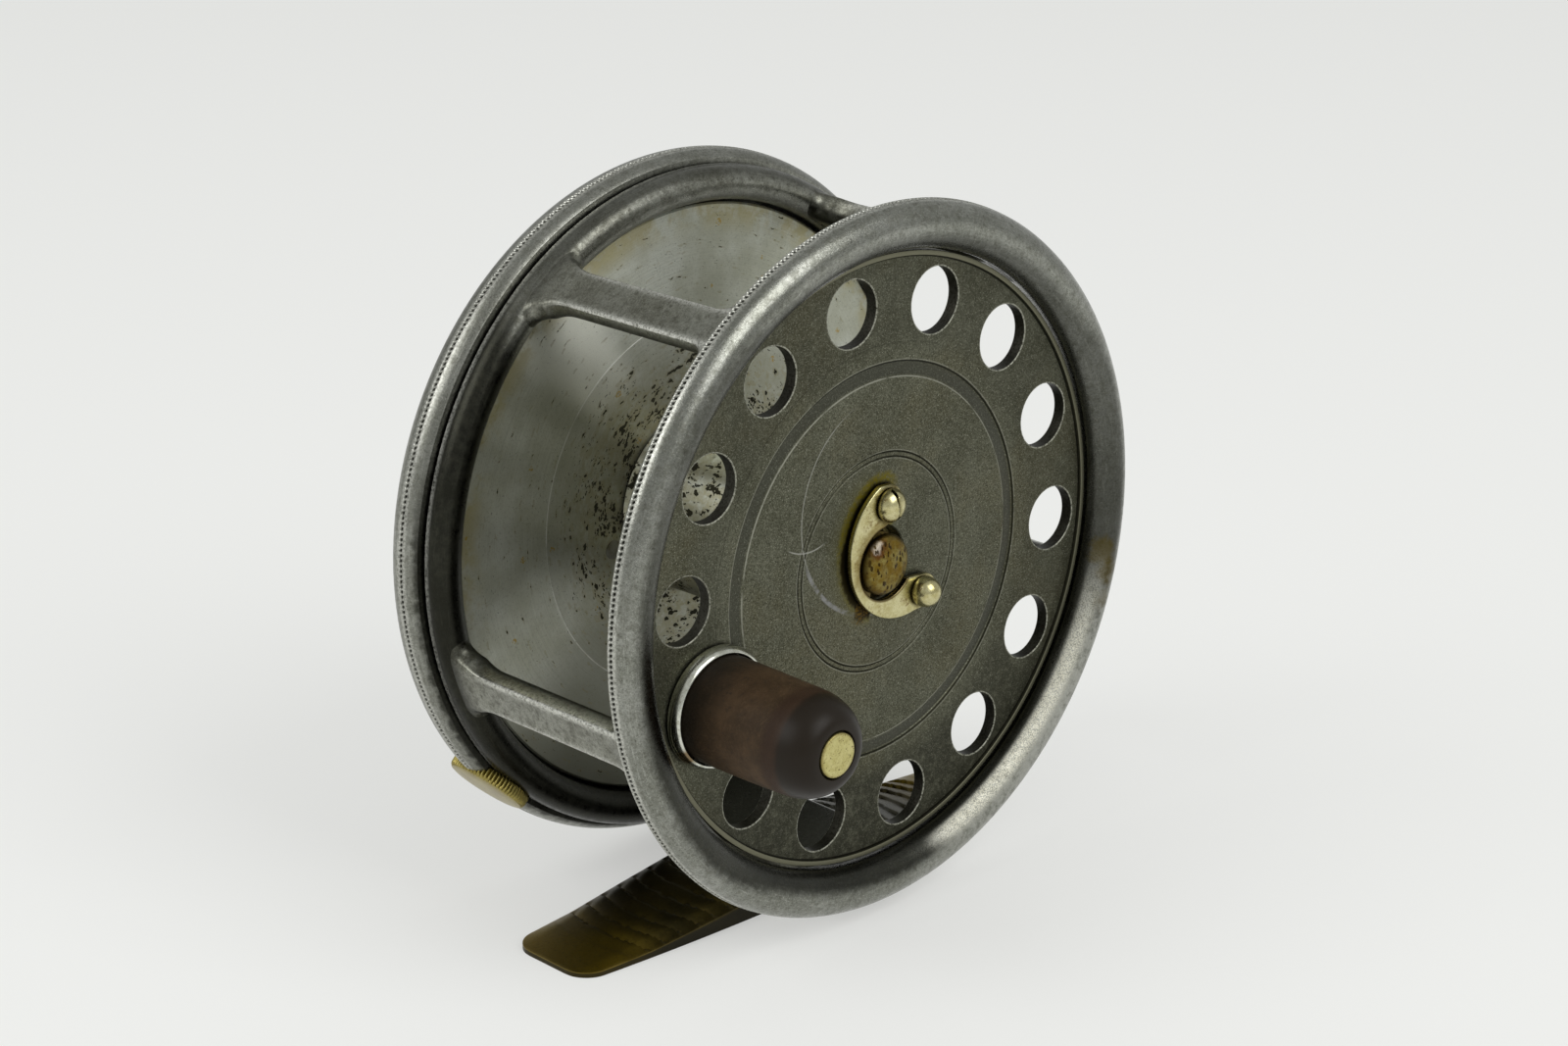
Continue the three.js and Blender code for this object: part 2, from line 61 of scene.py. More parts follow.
MM = 0.001
low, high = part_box("front_ring")
AXIS = (low + high) / 2
AXIS.y = low.y + 3.4 * MM  # the front bead's middle, on the spool axis; lengths below are mm from here
PILLAR_ANGLES = {"upper_left": 127, "upper_right": 55, "left": 199, "right": -17}
REGULATOR_ANGLE = 225
HANDLE = (-31.4, -12.3)
HOLES, HOLE_GAP, FIRST_HOLE = 14, 10, 99.2  # places, the one that the handle takes, degrees to the first
HOLE_CIRCLE, HOLE_RADIUS = 36.84, 4.7
LATCH_PIVOT, LATCH_EYE = (0.7, 8.5), 2.85
LATCH_BALL = (7.7, -5.75)
LATCH_BORE = (0.65, 0)
MILLED_WIDTH, MILLED_PITCH, MILLED_DEPTH = 0.8, 0.75, 0.3
FRONT_BEAD = (47.4, 0, 3.4)  # each bead's radius about the axis, depth and size
BACK_BEAD = (47.6, 41.7, 3.4)
REAR_BEAD = (46.6, 37.6, 2.5)
FRONT_TILT, BACK_TILT = -10.1, -6  # where a bead's milled dots are, degrees from outwards to the back


# ------ outlines
def polar(radius, angle):
    turn = radians(angle)
    return radius * cos(turn), radius * sin(turn)


def arc(x, z, radius, start, end, steps):
    """Points on a circle about (x, z), from one angle to another in degrees."""
    turns = [start + (end - start) * i / steps for i in range(steps + 1)]
    return [(x + polar(radius, t)[0], z + polar(radius, t)[1]) for t in turns]


def rounded(points, radius, steps, closed=True):
    """The outline with its corners rounded; an open one keeps its two ends."""
    made = []
    for i, corner in enumerate(points):
        if not closed and i in (0, len(points) - 1):
            made.append(corner)
            continue
        p = np.array(corner, float)
        before = np.array(points[i - 1], float) - p
        after = np.array(points[(i + 1) % len(points)], float) - p
        reach = min(radius, 0.48 * np.linalg.norm(before), 0.48 * np.linalg.norm(after))
        a = p + before / np.linalg.norm(before) * reach
        b = p + after / np.linalg.norm(after) * reach
        for k in range(steps + 1):
            t = k / steps
            made.append(tuple((1 - t) ** 2 * a + 2 * t * (1 - t) * p + t * t * b))
    return made


# ------ meshes
def lathe(outline, segments, centre=(0, 0)):
    """A closed outline of (radius, y) points turned about the Y axis through centre."""
    outline = np.array(outline, float)
    turns = np.linspace(0, 2 * np.pi, segments, endpoint=False)
    radius, depth = outline[:, 0], outline[:, 1]
    x = centre[0] + np.cos(turns)[:, None] * radius
    z = centre[1] + np.sin(turns)[:, None] * radius
    y = np.broadcast_to(depth, x.shape)
    return np.stack([x, y, z], -1).reshape(-1, 3), wrapped(segments, len(outline))


def wrapped(rows, columns, closed=True):
    """Faces of a grid whose rows are rings; closed joins the last row to the first."""
    faces = []
    for i in range(rows if closed else rows - 1):
        for j in range(columns):
            i2, j2 = (i + 1) % rows, (j + 1) % columns
            faces.append((i * columns + j, i2 * columns + j, i2 * columns + j2, i * columns + j2))
    return faces


def tube(sections):
    """A closed solid through a list of equal closed sections, with its ends capped."""
    rows, columns = len(sections), len(sections[0])
    faces = wrapped(rows, columns, False)
    faces.append(tuple(range(columns)))
    faces.append(tuple((rows - 1) * columns + j for j in reversed(range(columns))))
    return np.array(sections, float).reshape(-1, 3), faces


def plate(outlines, front, back, edge, edge_steps=3):
    """Flat outlines of (x, z) points, the first one outside and the rest holes, with rounded edges."""
    curve = bpy.data.curves.new("outline", "CURVE")
    curve.dimensions = "2D"
    curve.fill_mode = "BOTH"
    for outline in outlines:
        spline = curve.splines.new("POLY")
        spline.points.add(len(outline) - 1)
        spline.points.foreach_set("co", [c for x, z in outline for c in (x, z, 0, 1)])
        spline.use_cyclic_u = True
    curve.bevel_depth = edge
    curve.bevel_resolution = edge_steps
    curve.offset = -edge
    curve.extrude = (back - front) / 2 - edge
    holder = bpy.data.objects.new("outline", curve)
    mesh = holder.to_mesh()
    verts = np.array([(v.co.x, (front + back) / 2 - v.co.z, v.co.y) for v in mesh.vertices])
    faces = [tuple(p.vertices) for p in mesh.polygons]
    holder.to_mesh_clear()
    bpy.data.objects.remove(holder)
    bpy.data.curves.remove(curve)
    return verts, faces


def together(*parts):
    verts, faces, count = [], [], 0
    for v, f in parts:
        verts.append(np.asarray(v, float))
        faces += [tuple(i + count for i in face) for face in f]
        count += len(v)
    return np.concatenate(verts), faces


def grown(field, low_, high_, cell):
    """The zero level of a distance field (negative inside) between two corners, as an even quad mesh."""
    axes = [np.arange(a, b + cell, cell) for a, b in zip(low_, high_)]
    points = np.stack(np.meshgrid(*axes, indexing="ij"), -1)
    inside = np.concatenate([field(slab) < 0 for slab in points[:, None]])
    n = np.array(inside.shape) - 1
    total = sum(inside[i:n[0] + i, j:n[1] + j, k:n[2] + k].astype(np.int8)
                for i in (0, 1) for j in (0, 1) for k in (0, 1))
    mixed = (total > 0) & (total < 8)
    index = np.full(mixed.shape, -1)
    index[mixed] = np.arange(mixed.sum())
    verts = np.array([a[0] for a in axes]) + (np.argwhere(mixed) + 0.5) * cell
    faces = []
    for axis in range(3):
        others = [a for a in range(3) if a != axis]
        after = np.roll(inside, -1, axis) != inside
        at = np.argwhere(after)
        at = at[(at[:, axis] < n[axis]) & np.all([(at[:, o] > 0) & (at[:, o] < n[o]) for o in others], 0)]
        step = np.eye(3, dtype=int)
        around = [at, at - step[others[0]], at - step[others[0]] - step[others[1]], at - step[others[1]]]
        faces.append(np.stack([index[tuple(c.T)] for c in around], 1))
    reach = 0.05
    for _ in range(4):
        slope = [(field(verts + reach * e) - field(verts - reach * e)) / (2 * reach) for e in np.eye(3)]
        slope = np.stack(slope, 1)
        verts = verts - slope * (field(verts) / np.maximum((slope ** 2).sum(1), 0.05))[:, None]
    return verts, [tuple(f) for f in np.concatenate(faces).tolist()]


def turned_to(part, matrix):
    """The part's points carried by a 4x4 matrix, in mm."""
    m = np.array(matrix)
    return np.asarray(part[0]) @ m[:3, :3].T + m[:3, 3], part[1]


def radial(angle, y):
    """Carries a part made along -Y at the origin to point outwards at that angle, at depth y."""
    x, z = polar(1, angle)
    out = Vector((x, 0, z))
    back = Vector((0, 1, 0))
    side = back.cross(out)
    matrix = Matrix((side, -out, back)).transposed().to_4x4()
    matrix.translation = Vector((0, y, 0))
    return matrix


def shown(name, data):
    """A new object in the scene."""
    made = bpy.data.objects.new(name, data)
    bpy.context.scene.collection.objects.link(made)
    return made


def piece(name, part, material, body, nodes, slot, sharp=38, wear=None, grime=None):
    """One shown piece: it rides on a body and stands for CAD nodes. Its two optional per-point shares, 0 to 1,
    are bright wear (partly painted highlight) and painted shade.
    """
    verts, faces = part
    verts = np.asarray(verts, float)
    mesh = bpy.data.meshes.new(name)
    mesh.from_pydata((verts * MM + np.array(AXIS)).tolist(), [], faces)
    for kind, share in (("wear", wear), ("grime", grime)):
        if share is not None:
            values = np.broadcast_to(share(verts), len(verts)).astype(np.float32)
            mesh.attributes.new(kind, "FLOAT", "POINT").data.foreach_set("value", values)
    bm = bmesh.new()
    bm.from_mesh(mesh)
    bmesh.ops.remove_doubles(bm, verts=bm.verts, dist=1e-6)
    bmesh.ops.dissolve_degenerate(bm, edges=bm.edges, dist=1e-7)
    bmesh.ops.recalc_face_normals(bm, faces=bm.faces)
    bm.to_mesh(mesh)
    bm.free()
    mesh.polygons.foreach_set("use_smooth", [True] * len(mesh.polygons))
    mesh.set_sharp_from_angle(angle=radians(sharp))
    mesh.materials.append(material)
    made = shown(name, mesh)
    made.modifiers.new("even_normals", "WEIGHTED_NORMAL").keep_sharp = True
    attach(made, body)
    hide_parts(*nodes)
    return made


# ------ material nodes
class Finish:
    """Builds one procedural material. Positions in it are mm from AXIS."""

    def __init__(self, name, centre=(0, 0), metallic=1):
        self.material = bpy.data.materials.new(name)
        self.material.use_nodes = True
        self.tree = self.material.node_tree
        self.shader = self.tree.nodes["Principled BSDF"]
        self.shader.inputs["Metallic"].default_value = metallic
        middle = AXIS + Vector((centre[0], 0, centre[1])) * MM
        where = self.node("TexCoord").outputs["Object"]
        where = self.vector("SUBTRACT", where, tuple(middle))
        scaled_up = self.node("VectorMath", {0: where, "Scale": 1 / MM}, operation="SCALE")
        self.place = scaled_up.outputs[0]
        split = self.node("SeparateXYZ", {0: self.place}).outputs
        self.x, self.y, self.z = split["X"], split["Y"], split["Z"]
        self.radius = self.length(self.joined(self.x, 0, self.z))
        self.angle = self.math("ARCTAN2", self.z, self.x)

    def node(self, kind, inputs=None, **properties):
        made = self.tree.nodes.new("ShaderNode" + kind)
        for key, value in properties.items():
            setattr(made, key, value)
        for key, value in (inputs or {}).items():
            if isinstance(value, bpy.types.NodeSocket):
                self.tree.links.new(value, made.inputs[key])
            else:
                made.inputs[key].default_value = value
        return made

    def math(self, operation, a, b=0, c=0, clamp=False):
        made = self.node("Math", {0: a, 1: b, 2: c}, operation=operation)
        made.use_clamp = clamp
        return made.outputs[0]

    def add(self, a, b):
        return self.math("ADD", a, b)

    def less(self, a, b):
        return self.math("SUBTRACT", a, b)

    def rest(self, share):
        return self.math("SUBTRACT", 1, share)

    def vector(self, operation, a, b):
        return self.node("VectorMath", {0: a, 1: b}, operation=operation).outputs[0]

    def joined(self, x, y, z):
        return self.node("CombineXYZ", {"X": x, "Y": y, "Z": z}).outputs[0]

    def length(self, vector):
        return self.node("VectorMath", {0: vector}, operation="LENGTH").outputs["Value"]

    def noise(self, scale, detail=4, rough=0.55, place=None):
        inputs = {"Vector": place or self.place, "Scale": scale, "Detail": detail, "Roughness": rough}
        return self.node("TexNoise", inputs).outputs["Fac"]

    def ragged(self, value, amount, *noise_settings):
        """The value with noise added, half of it each way."""
        return self.add(value, self.both(self.less(self.noise(*noise_settings), 0.5), amount))

    def streaks(self, along, across):
        """Noise drawn out round the axis: along and across are its scales per mm."""
        out, back = self.both(self.radius, across), self.both(self.y, across)
        return self.noise(1, 3, 0.6, self.joined(self.both(self.angle, 45 * along), out, back))

    def cells_within(self, reach, scale, place=None):
        """1 within reach of the nearest of a scatter of points, else 0."""
        inputs = {"Vector": place or self.place, "Scale": scale}
        return self.math("LESS_THAN", self.node("TexVoronoi", inputs).outputs["Distance"], reach)

    def band(self, value, start, end):
        """0 below start, 1 above end, smooth between; end may be the lower one."""
        inputs = {"Value": value, "From Min": min(start, end), "From Max": max(start, end)}
        inputs |= {"To Min": float(start > end), "To Max": float(start < end)}
        return self.node("MapRange", inputs, interpolation_type="SMOOTHSTEP").outputs["Result"]

    def patches(self, start, end, *noise_settings):
        return self.band(self.noise(*noise_settings), start, end)

    def mix(self, amount, a, b):
        a, b = ((*c, 1) if isinstance(c, tuple) else c for c in (a, b))
        return self.node("Mix", {0: amount, 6: a, 7: b}, data_type="RGBA").outputs[2]

    def occlusion_shade(self, distance):
        """Ambient occlusion: 1 in a corner or gap, 0 in the open. Colours laid by it are painted shade in
        corners and gaps.
        """
        made = self.node("AmbientOcclusion", {"Distance": distance * MM}, samples=4)
        return self.math("SUBTRACT", 1, made.outputs["AO"], clamp=True)

    def distance_from(self, x, z):
        """Distance from a line along Y."""
        return self.length(self.joined(self.less(self.x, x), 0, self.less(self.z, z)))

    def attribute(self, name):
        return self.node("Attribute", attribute_name=name).outputs["Fac"]

    def spread(self, value, low_, high_):
        """A 0 to 1 value carried to a range."""
        return self.math("MULTIPLY_ADD", value, high_ - low_, low_)

    def near(self, value, at, half):
        """1 where a value is within half of at, soft at its edges."""
        return self.band(self.math("ABSOLUTE", self.less(value, at)), half, half * 0.4)

    def both(self, *shares):
        result = shares[0]
        for share in shares[1:]:
            result = self.math("MULTIPLY", result, share)
        return result

    def spot(self, place, wobble, scale):
        """Distance from a point, made uneven by noise."""
        reach = self.length(self.vector("SUBTRACT", self.place, place))
        return self.add(reach, self.both(self.noise(scale, 4), wobble))

    def ground(self, value, start, end, low_tone, high_tone):
        self.tone = self.mix(self.band(value, start, end), low_tone, high_tone)

    def coat(self, colour, *shares):
        """Lays a colour over the tone so far, as much as the shares multiply to."""
        self.tone = self.mix(self.both(*shares), self.tone, colour)

    def lay(self, colour, value, start, end, *shares):
        """A coat where a value is in a band."""
        self.coat(colour, self.band(value, start, end), *shares)

    def done(self, rough, height, depth, strength):
        """The material, with its tone, its roughness and its bump: a height from 0 to 1 stands for depth mm."""
        inputs = {"Height": height, "Distance": depth * MM, "Strength": strength}
        bump = self.node("Bump", inputs).outputs[0]
        for socket, value in (("Base Color", self.tone), ("Roughness", rough), ("Normal", bump)):
            self.tree.links.new(value, self.shader.inputs[socket])
        return self.material

    def turned_sheen(self, amount, rotation):
        """Gloss drawn out by marks that run round the axis."""
        tangent = self.node("Tangent", direction_type="RADIAL", axis="Y").outputs[0]
        self.tree.links.new(tangent, self.shader.inputs["Tangent"])
        self.shader.inputs["Anisotropic"].default_value = amount
        self.shader.inputs["Anisotropic Rotation"].default_value = rotation


def scaled(colour, by):
    return tuple(min(c * by, 0.8) for c in colour)


def cage_metal(name, plain, light, dark, share, blackened, handled=False, corner=3, gloss=(0.25, 0.4)):
    """Worn cast aluminium, a share of it darkened. blackened(f) is where it is black: its black finish, and on
    the pillars' inner faces also painted shade.
    """
    f = Finish(name)
    patches = f.noise(0.1, 5, 0.62)
    mottle = f.noise(0.9, 6, 0.72)
    grain = f.noise(2.8, 5, 0.8)
    marks = f.streaks(0.3, 4)
    fine = f.noise(6, 2, 0.6)
    f.ground(patches, 0.38, 0.66, plain, light)
    f.lay(dark, mottle, 0.42, 0.72, share)
    f.lay(scaled(light, 1.5), marks, 0.52, 0.72, 0.35)
    f.lay(scaled(dark, 0.4), grain, 0.5, 0.7, 0.6)
    f.lay(scaled(light, 1.8), grain, 0.46, 0.3, 0.4)
    f.lay(scaled(dark, 0.4), fine, 0.58, 0.7, 0.5)
    f.lay(scaled(light, 2), fine, 0.4, 0.28, 0.45)
    bare, f.tone = f.tone, BLACKENED
    f.lay(scaled(BLACKENED, 2), mottle, 0.4, 0.66, f.band(patches, 0.35, 0.6))
    f.lay(scaled(BLACKENED, 3), marks, 0.55, 0.72, 0.3)
    f.lay(scaled(BLACKENED, 5), grain, 0.38, 0.26, 0.45)
    f.tone = f.mix(blackened(f), bare, f.tone)
    # Painted shade in corners and gaps, from ambient occlusion.
    f.lay((0.02, 0.02, 0.013), f.occlusion_shade(corner), 0.3, 0.85)
    # Bright metal where the wear share is: worn edges, and along the pillars' ridges also a painted highlight.
    f.coat((0.74, 0.74, 0.68), f.attribute("wear"), f.band(grain, 0.66, 0.42))
    # Painted shade where a piece marks it: in the milled pits.
    f.coat((0.012, 0.012, 0.009), f.attribute("grime"))
    rough = f.spread(f.band(mottle, 0.3, 0.7), *gloss)
    if handled:
        for place, size in (((44.8, -2.8, -8.6), 2.4), ((45.8, -2.8, -12), 2.2), ((44.8, -2.8, -16), 1.8)):
            reach = f.spot(place, 2.6, 0.8)
            f.lay((0.07, 0.052, 0.009), reach, size + 1.7, size + 0.2, 0.7)
        f.coat((0.44, 0.44, 0.4), rubbed_and_highlighted(f), f.patches(0.34, 0.56, 0.8, 5, 0.7), 0.55)
        # Painted highlight: the inner slope of the rubbed lower right is coloured near white.
        slope = f.both(rubbed_and_highlighted(f), f.band(f.radius, 47, 45.4))
        f.coat((0.8, 0.78, 0.66), slope, f.band(fine, 0.36, 0.6), 0.85)
        rough = f.add(rough, f.add(f.both(rubbed_and_highlighted(f), 0.1), f.both(slope, 0.26)))
    rough = f.add(rough, f.both(f.attribute("grime"), 0.3))
    return f.done(rough, f.add(f.both(mottle, 0.5), f.both(grain, 0.5)), 0.06, 0.7)


def rubbed_and_highlighted(f):
    """The front ring's lower right, rubbed bright by hands; a painted highlight is laid on its inner slope
    there.
    """
    return f.both(f.band(f.z, -6, -26), f.band(f.x, 7, 15), f.band(f.radius, 44.2, 44.6))


def seam(f, clear, black):
    """Black along the seam between the rear ring and the back plate, with a ragged edge."""
    return f.band(f.ragged(f.y, 2, 0.7, 5, 0.7), clear, black)


def rim_shade(f):
    """The back plate's rim is black beside the seam, but for its top."""
    return f.both(seam(f, 40, 39.1), f.band(f.z, 22, 2), 0.88)


def inner_slope(f):
    """The front ring is black inside its crest, further out at the left and the right, but not at the rubbed
    and highlighted lower right.
    """
    edge = f.add(f.both(f.band(f.x, -18, -36), 2), f.both(f.band(f.z, -20, -40), 0.35))
    edge = f.add(edge, f.both(f.band(f.x, 34, 45), 2.2))
    inside = f.ragged(f.less(f.less(f.radius, 46.4), edge), 1.6, 0.6, 5, 0.7)
    share = f.spread(f.band(f.z, 20, -20), 0.62, 0.88)
    return f.both(f.band(inside, 1, -1), f.rest(rubbed_and_highlighted(f)), share)


def rear_shade(f):
    """The rear ring is black but for the crest of its bead near the top."""
    crest = f.band(f.math("ABSOLUTE", f.less(f.ragged(f.radius, 2.8, 0.9, 6, 0.8), 46.5)), 1.9, 0.5)
    top = f.both(f.band(f.z, 20, 34), f.band(f.x, -38, -32), f.spread(crest, 0.4, 0.95))
    return f.math("MAXIMUM", f.both(f.rest(top), 0.97), f.both(seam(f, 37.6, 38.8), 0.9))


def cage_inside(f):
    """The pillars are black on their inner faces, which is black finish and painted shade inside the cage, and
    where they run into the rear ring.
    """
    inside = f.ragged(f.radius, 1.6, 0.6, 5, 0.7)
    root = f.both(f.band(f.y, 32.5, 37), rear_shade(f))
    # Black on the inner faces: black finish and painted shade.
    return f.math("MAXIMUM", f.both(f.band(inside, 47.6, 45.4), 0.9), root)


def face_metal():
    """Blackened brass sheet: speckled, with turned lines, hole edges worn bright and the latch's sweep."""
    f = Finish("face_metal")
    patches = f.noise(0.09, 4, 0.6)
    mottle = f.noise(0.9, 6, 0.72)
    grain = f.noise(3.2, 4, 0.75)
    fine = f.noise(6, 2, 0.6)
    f.ground(patches, 0.35, 0.68, (0.084, 0.084, 0.055), (0.13, 0.132, 0.094))
    f.coat((0.11, 0.098, 0.052), f.patches(0.45, 0.62, 0.05, 4, 0.6), 0.45)
    darker = f.both(f.band(f.radius, 28, 33), f.band(f.x, -44, -26))
    darker = f.both(darker, f.spread(f.band(f.z, -8, -36), 0.42, 0.92))
    f.coat((0.032, 0.032, 0.022), darker)
    f.lay((0.155, 0.156, 0.112), mottle, 0.42, 0.75, 0.6)
    trough = f.both(f.band(f.radius, 26.2, 26.6), f.band(f.radius, 28.3, 27.9))
    speckle = f.both(f.rest(f.both(trough, 0.5)), f.rest(f.both(darker, 0.55)))
    f.coat((0.055, 0.056, 0.044), trough, 0.8)
    f.lay((0.03, 0.03, 0.019), grain, 0.48, 0.66, speckle, 0.75)
    f.lay((0.26, 0.26, 0.205), grain, 0.46, 0.3, speckle, 0.6)
    f.lay((0.032, 0.032, 0.021), fine, 0.55, 0.66, speckle, 0.65)
    f.lay((0.4, 0.4, 0.32), fine, 0.4, 0.29, speckle, 0.75)
    broken = f.patches(0.3, 0.5, 0.25, 3)
    for at, half, share in ((26.15, 0.14, 0.75), (28.55, 0.11, 0.4), (15.88, 0.08, 0.45), (14.72, 0.08, 0.45)):
        f.coat((0.36, 0.36, 0.3), f.near(f.radius, at, half), broken, share)
    for at, half, share in ((28.3, 0.17, 0.95), (15.66, 0.13, 0.8), (14.95, 0.13, 0.8), (42.8, 0.2, 0.9)):
        f.coat((0.014, 0.014, 0.009), f.near(f.radius, at, half), share)
    f.lay((0.185, 0.18, 0.125), f.radius, 42.85, 42.95)
    swept_marks(f)
    latch_halo(f)
    f.coat((0.44, 0.44, 0.37), f.near(from_holes(f), HOLE_RADIUS + 0.09, 0.16), f.band(grain, 0.66, 0.42), 0.8)
    # Painted shade in corners and gaps, from ambient occlusion.
    f.lay((0.02, 0.019, 0.013), f.occlusion_shade(1.6), 0.45, 1)
    # Painted shade where the piece marks it: on the walls of the holes.
    f.coat((0.012, 0.011, 0.008), f.attribute("grime"))
    rough = f.less(f.spread(mottle, 0.42, 0.6), f.both(trough, 0.08))
    return f.done(rough, f.add(f.both(mottle, 0.4), f.both(grain, 0.6)), 0.045, 0.7)


def from_holes(f):
    """Distance from the middle of the nearest ventilation hole."""
    turn = f.math("PINGPONG", f.less(f.angle, radians(FIRST_HOLE)), pi / HOLES)
    across = f.less(f.both(f.radius, f.math("COSINE", turn)), HOLE_CIRCLE)
    return f.length(f.joined(across, f.both(f.radius, f.math("SINE", turn)), 0))


def swept_marks(f):
    """The arc that the latch's ball has rubbed as it swings, and one short scratch across it."""
    sweep = f.distance_from(*LATCH_PIVOT)
    left = f.band(f.x, 1, -2)
    low = f.both(f.near(sweep, 15.9, 0.42), f.band(f.z, 3.5, 0.5), left, f.patches(0.3, 0.55, 0.8, 3))
    high = f.both(f.near(sweep, 15.75, 0.13), f.band(f.z, 1, 4), left, f.band(f.z, 24, 20))
    f.coat((0.33, 0.33, 0.34), low, 0.65)
    f.coat((0.4, 0.4, 0.36), high, 0.6)
    off = f.add(f.x, 13.5)
    across = f.less(f.z, f.both(off, off, 0.07))
    nick = f.both(f.near(across, 4.75, 0.14), f.band(f.x, -18, -16.5), f.band(f.x, -10, -12))
    f.coat((0.42, 0.42, 0.38), nick, 0.7)


def latch_halo(f):
    """Round the latch: old oil as a wide olive cast and a yellow rim, and black against the latch's edge, which
    is partly old oil and partly a painted shadow of the latch.
    """
    away = f.less(f.distance_from(3.6, 1.9), 10.3)
    eye = f.less(f.distance_from(*LATCH_PIVOT), LATCH_EYE)
    past_eye = f.math("MAXIMUM", f.less(eye, away), 0)
    away = f.add(away, f.both(f.band(f.x, -1.8, 1.2), past_eye))
    away = f.ragged(away, 1.3, 1.1, 5, 0.7)
    side = f.both(f.band(f.x, 4.5, 1.5), f.band(f.z, -10, -8))
    upper = f.band(f.z, 1, 6)
    blotch = f.patches(0.38, 0.58, 1.8, 4, 0.7)
    f.lay((0.12, 0.112, 0.05), away, 4.5, 0.5, side, f.band(f.x, 0, -4), 0.45)
    yellow = f.both(f.band(away, 1.9, 1), side, f.spread(blotch, 0.45, 1), f.spread(upper, 0.45, 1))
    f.coat((0.15, 0.125, 0.014), yellow)
    # Black against the latch's edge: old oil and a painted shadow of the latch.
    f.lay((0.022, 0.017, 0.006), f.add(away, f.both(upper, 0.7)), 1.15, 0.55, side)
    rust = f.spot((-3.2, 0.7, -6.8), 1.6, 1.3)
    f.lay((0.03, 0.02, 0.006), rust, 2.5, 1.5, 0.9)
    f.lay((0.16, 0.095, 0.012), rust, 2.7, 2.2, f.patches(0.5, 0.6, 2.4, 3), 0.6)


def bright_metal(name, pitted):
    """Turned nickel silver: its gloss drawn out by the turning, pitted and stained, with a painted bright and
    dark reflection wedge and painted shade towards the bottom.
    """
    f = Finish(name)
    patches = f.noise(0.08, 4, 0.6)
    mottle = f.noise(0.8, 5, 0.65)
    turned = f.streaks(0.03, 10)
    f.ground(patches, 0.36, 0.66, (0.52, 0.53, 0.43), (0.7, 0.72, 0.64))
    f.lay((0.34, 0.35, 0.29), turned, 0.4, 0.7, 0.35)
    f.coat((0.22, 0.22, 0.16), f.patches(0.52, 0.68, 2.6, 4, 0.75), 0.35)
    # Painted shade: darker towards the bottom.
    f.lay((0.24, 0.24, 0.19), f.z, -18, -38, 0.7)
    # Painted reflection: a bright wedge at the upper left.
    f.coat((0.98, 0.99, 0.88), f.near(f.angle, 2.25, 0.24), f.band(f.radius, 20, 26), 0.75)
    # Painted reflection: a dark wedge at the lower left.
    f.coat((0.26, 0.26, 0.2), f.near(f.angle, -2.2, 0.5), f.band(f.radius, 18, 24), 0.55)
    f.coat((0.25, 0.25, 0.22), f.patches(0.5, 0.7, 7, 3, 0.7), 0.3)
    hub = f.band(f.radius, *((29, 17) if pitted else (20, 12)))
    f.coat((0.36, 0.34, 0.21), hub, f.band(mottle, 0.3, 0.65), 0.65)
    if pitted:
        edge = f.both(f.band(f.radius, 38.5, 42.5), f.band(f.z, -22, -2))
        f.coat((0.42, 0.36, 0.15), edge, f.patches(0.4, 0.6, 0.2, 4, 0.65), 0.62)
        f.lay((0.3, 0.3, 0.24), f.radius, 27.75, 27.65, 0.22)
        f.coat((0.85, 0.86, 0.8), f.near(f.radius, 27.8, 0.12), f.patches(0.3, 0.5, 0.2), 0.7)
    wobble = f.node("TexNoise", {"Vector": f.place, "Scale": 1.1, "Detail": 3}).outputs["Color"]
    drawn = f.joined(f.both(f.angle, 11), f.both(f.radius, 1.25), f.both(f.y, 0.4))
    drawn = f.vector("ADD", drawn, wobble)
    crowd = f.patches(0.34, 0.56, 0.16, 5, 0.65)
    size = f.spread(f.both(hub, crowd), 0.11, 0.48)
    big = f.cells_within(f.both(size, f.band(f.noise(0.9, 2, 0.5, drawn), 0.3, 0.62)), 0.85, drawn)
    small = f.cells_within(f.both(size, 0.85), 2.1, drawn)
    pit = f.math("MAXIMUM", big, f.both(small, f.patches(0.42, 0.52, 0.3, 3)))
    halo = f.cells_within(f.both(size, 1.7), 0.85, drawn)
    f.coat((0.34, 0.3, 0.16), halo, 0.35)
    f.coat((0.03, 0.028, 0.016), pit, 0.94)
    rust = f.both(f.cells_within(0.09, 0.16), f.patches(0.45, 0.55, 2, 3))
    f.coat((0.45, 0.3, 0.05), rust, 0.8)
    # Painted shade in corners and gaps, from ambient occlusion.
    f.lay((0.05, 0.048, 0.035), f.occlusion_shade(3), 0.5, 1)
    f.turned_sheen(0.85, 0.25)
    rough = f.add(f.spread(mottle, 0.37, 0.46), f.both(pit, 0.3))
    return f.done(rough, f.less(f.both(turned, 0.1), pit), 0.03, 0.6)


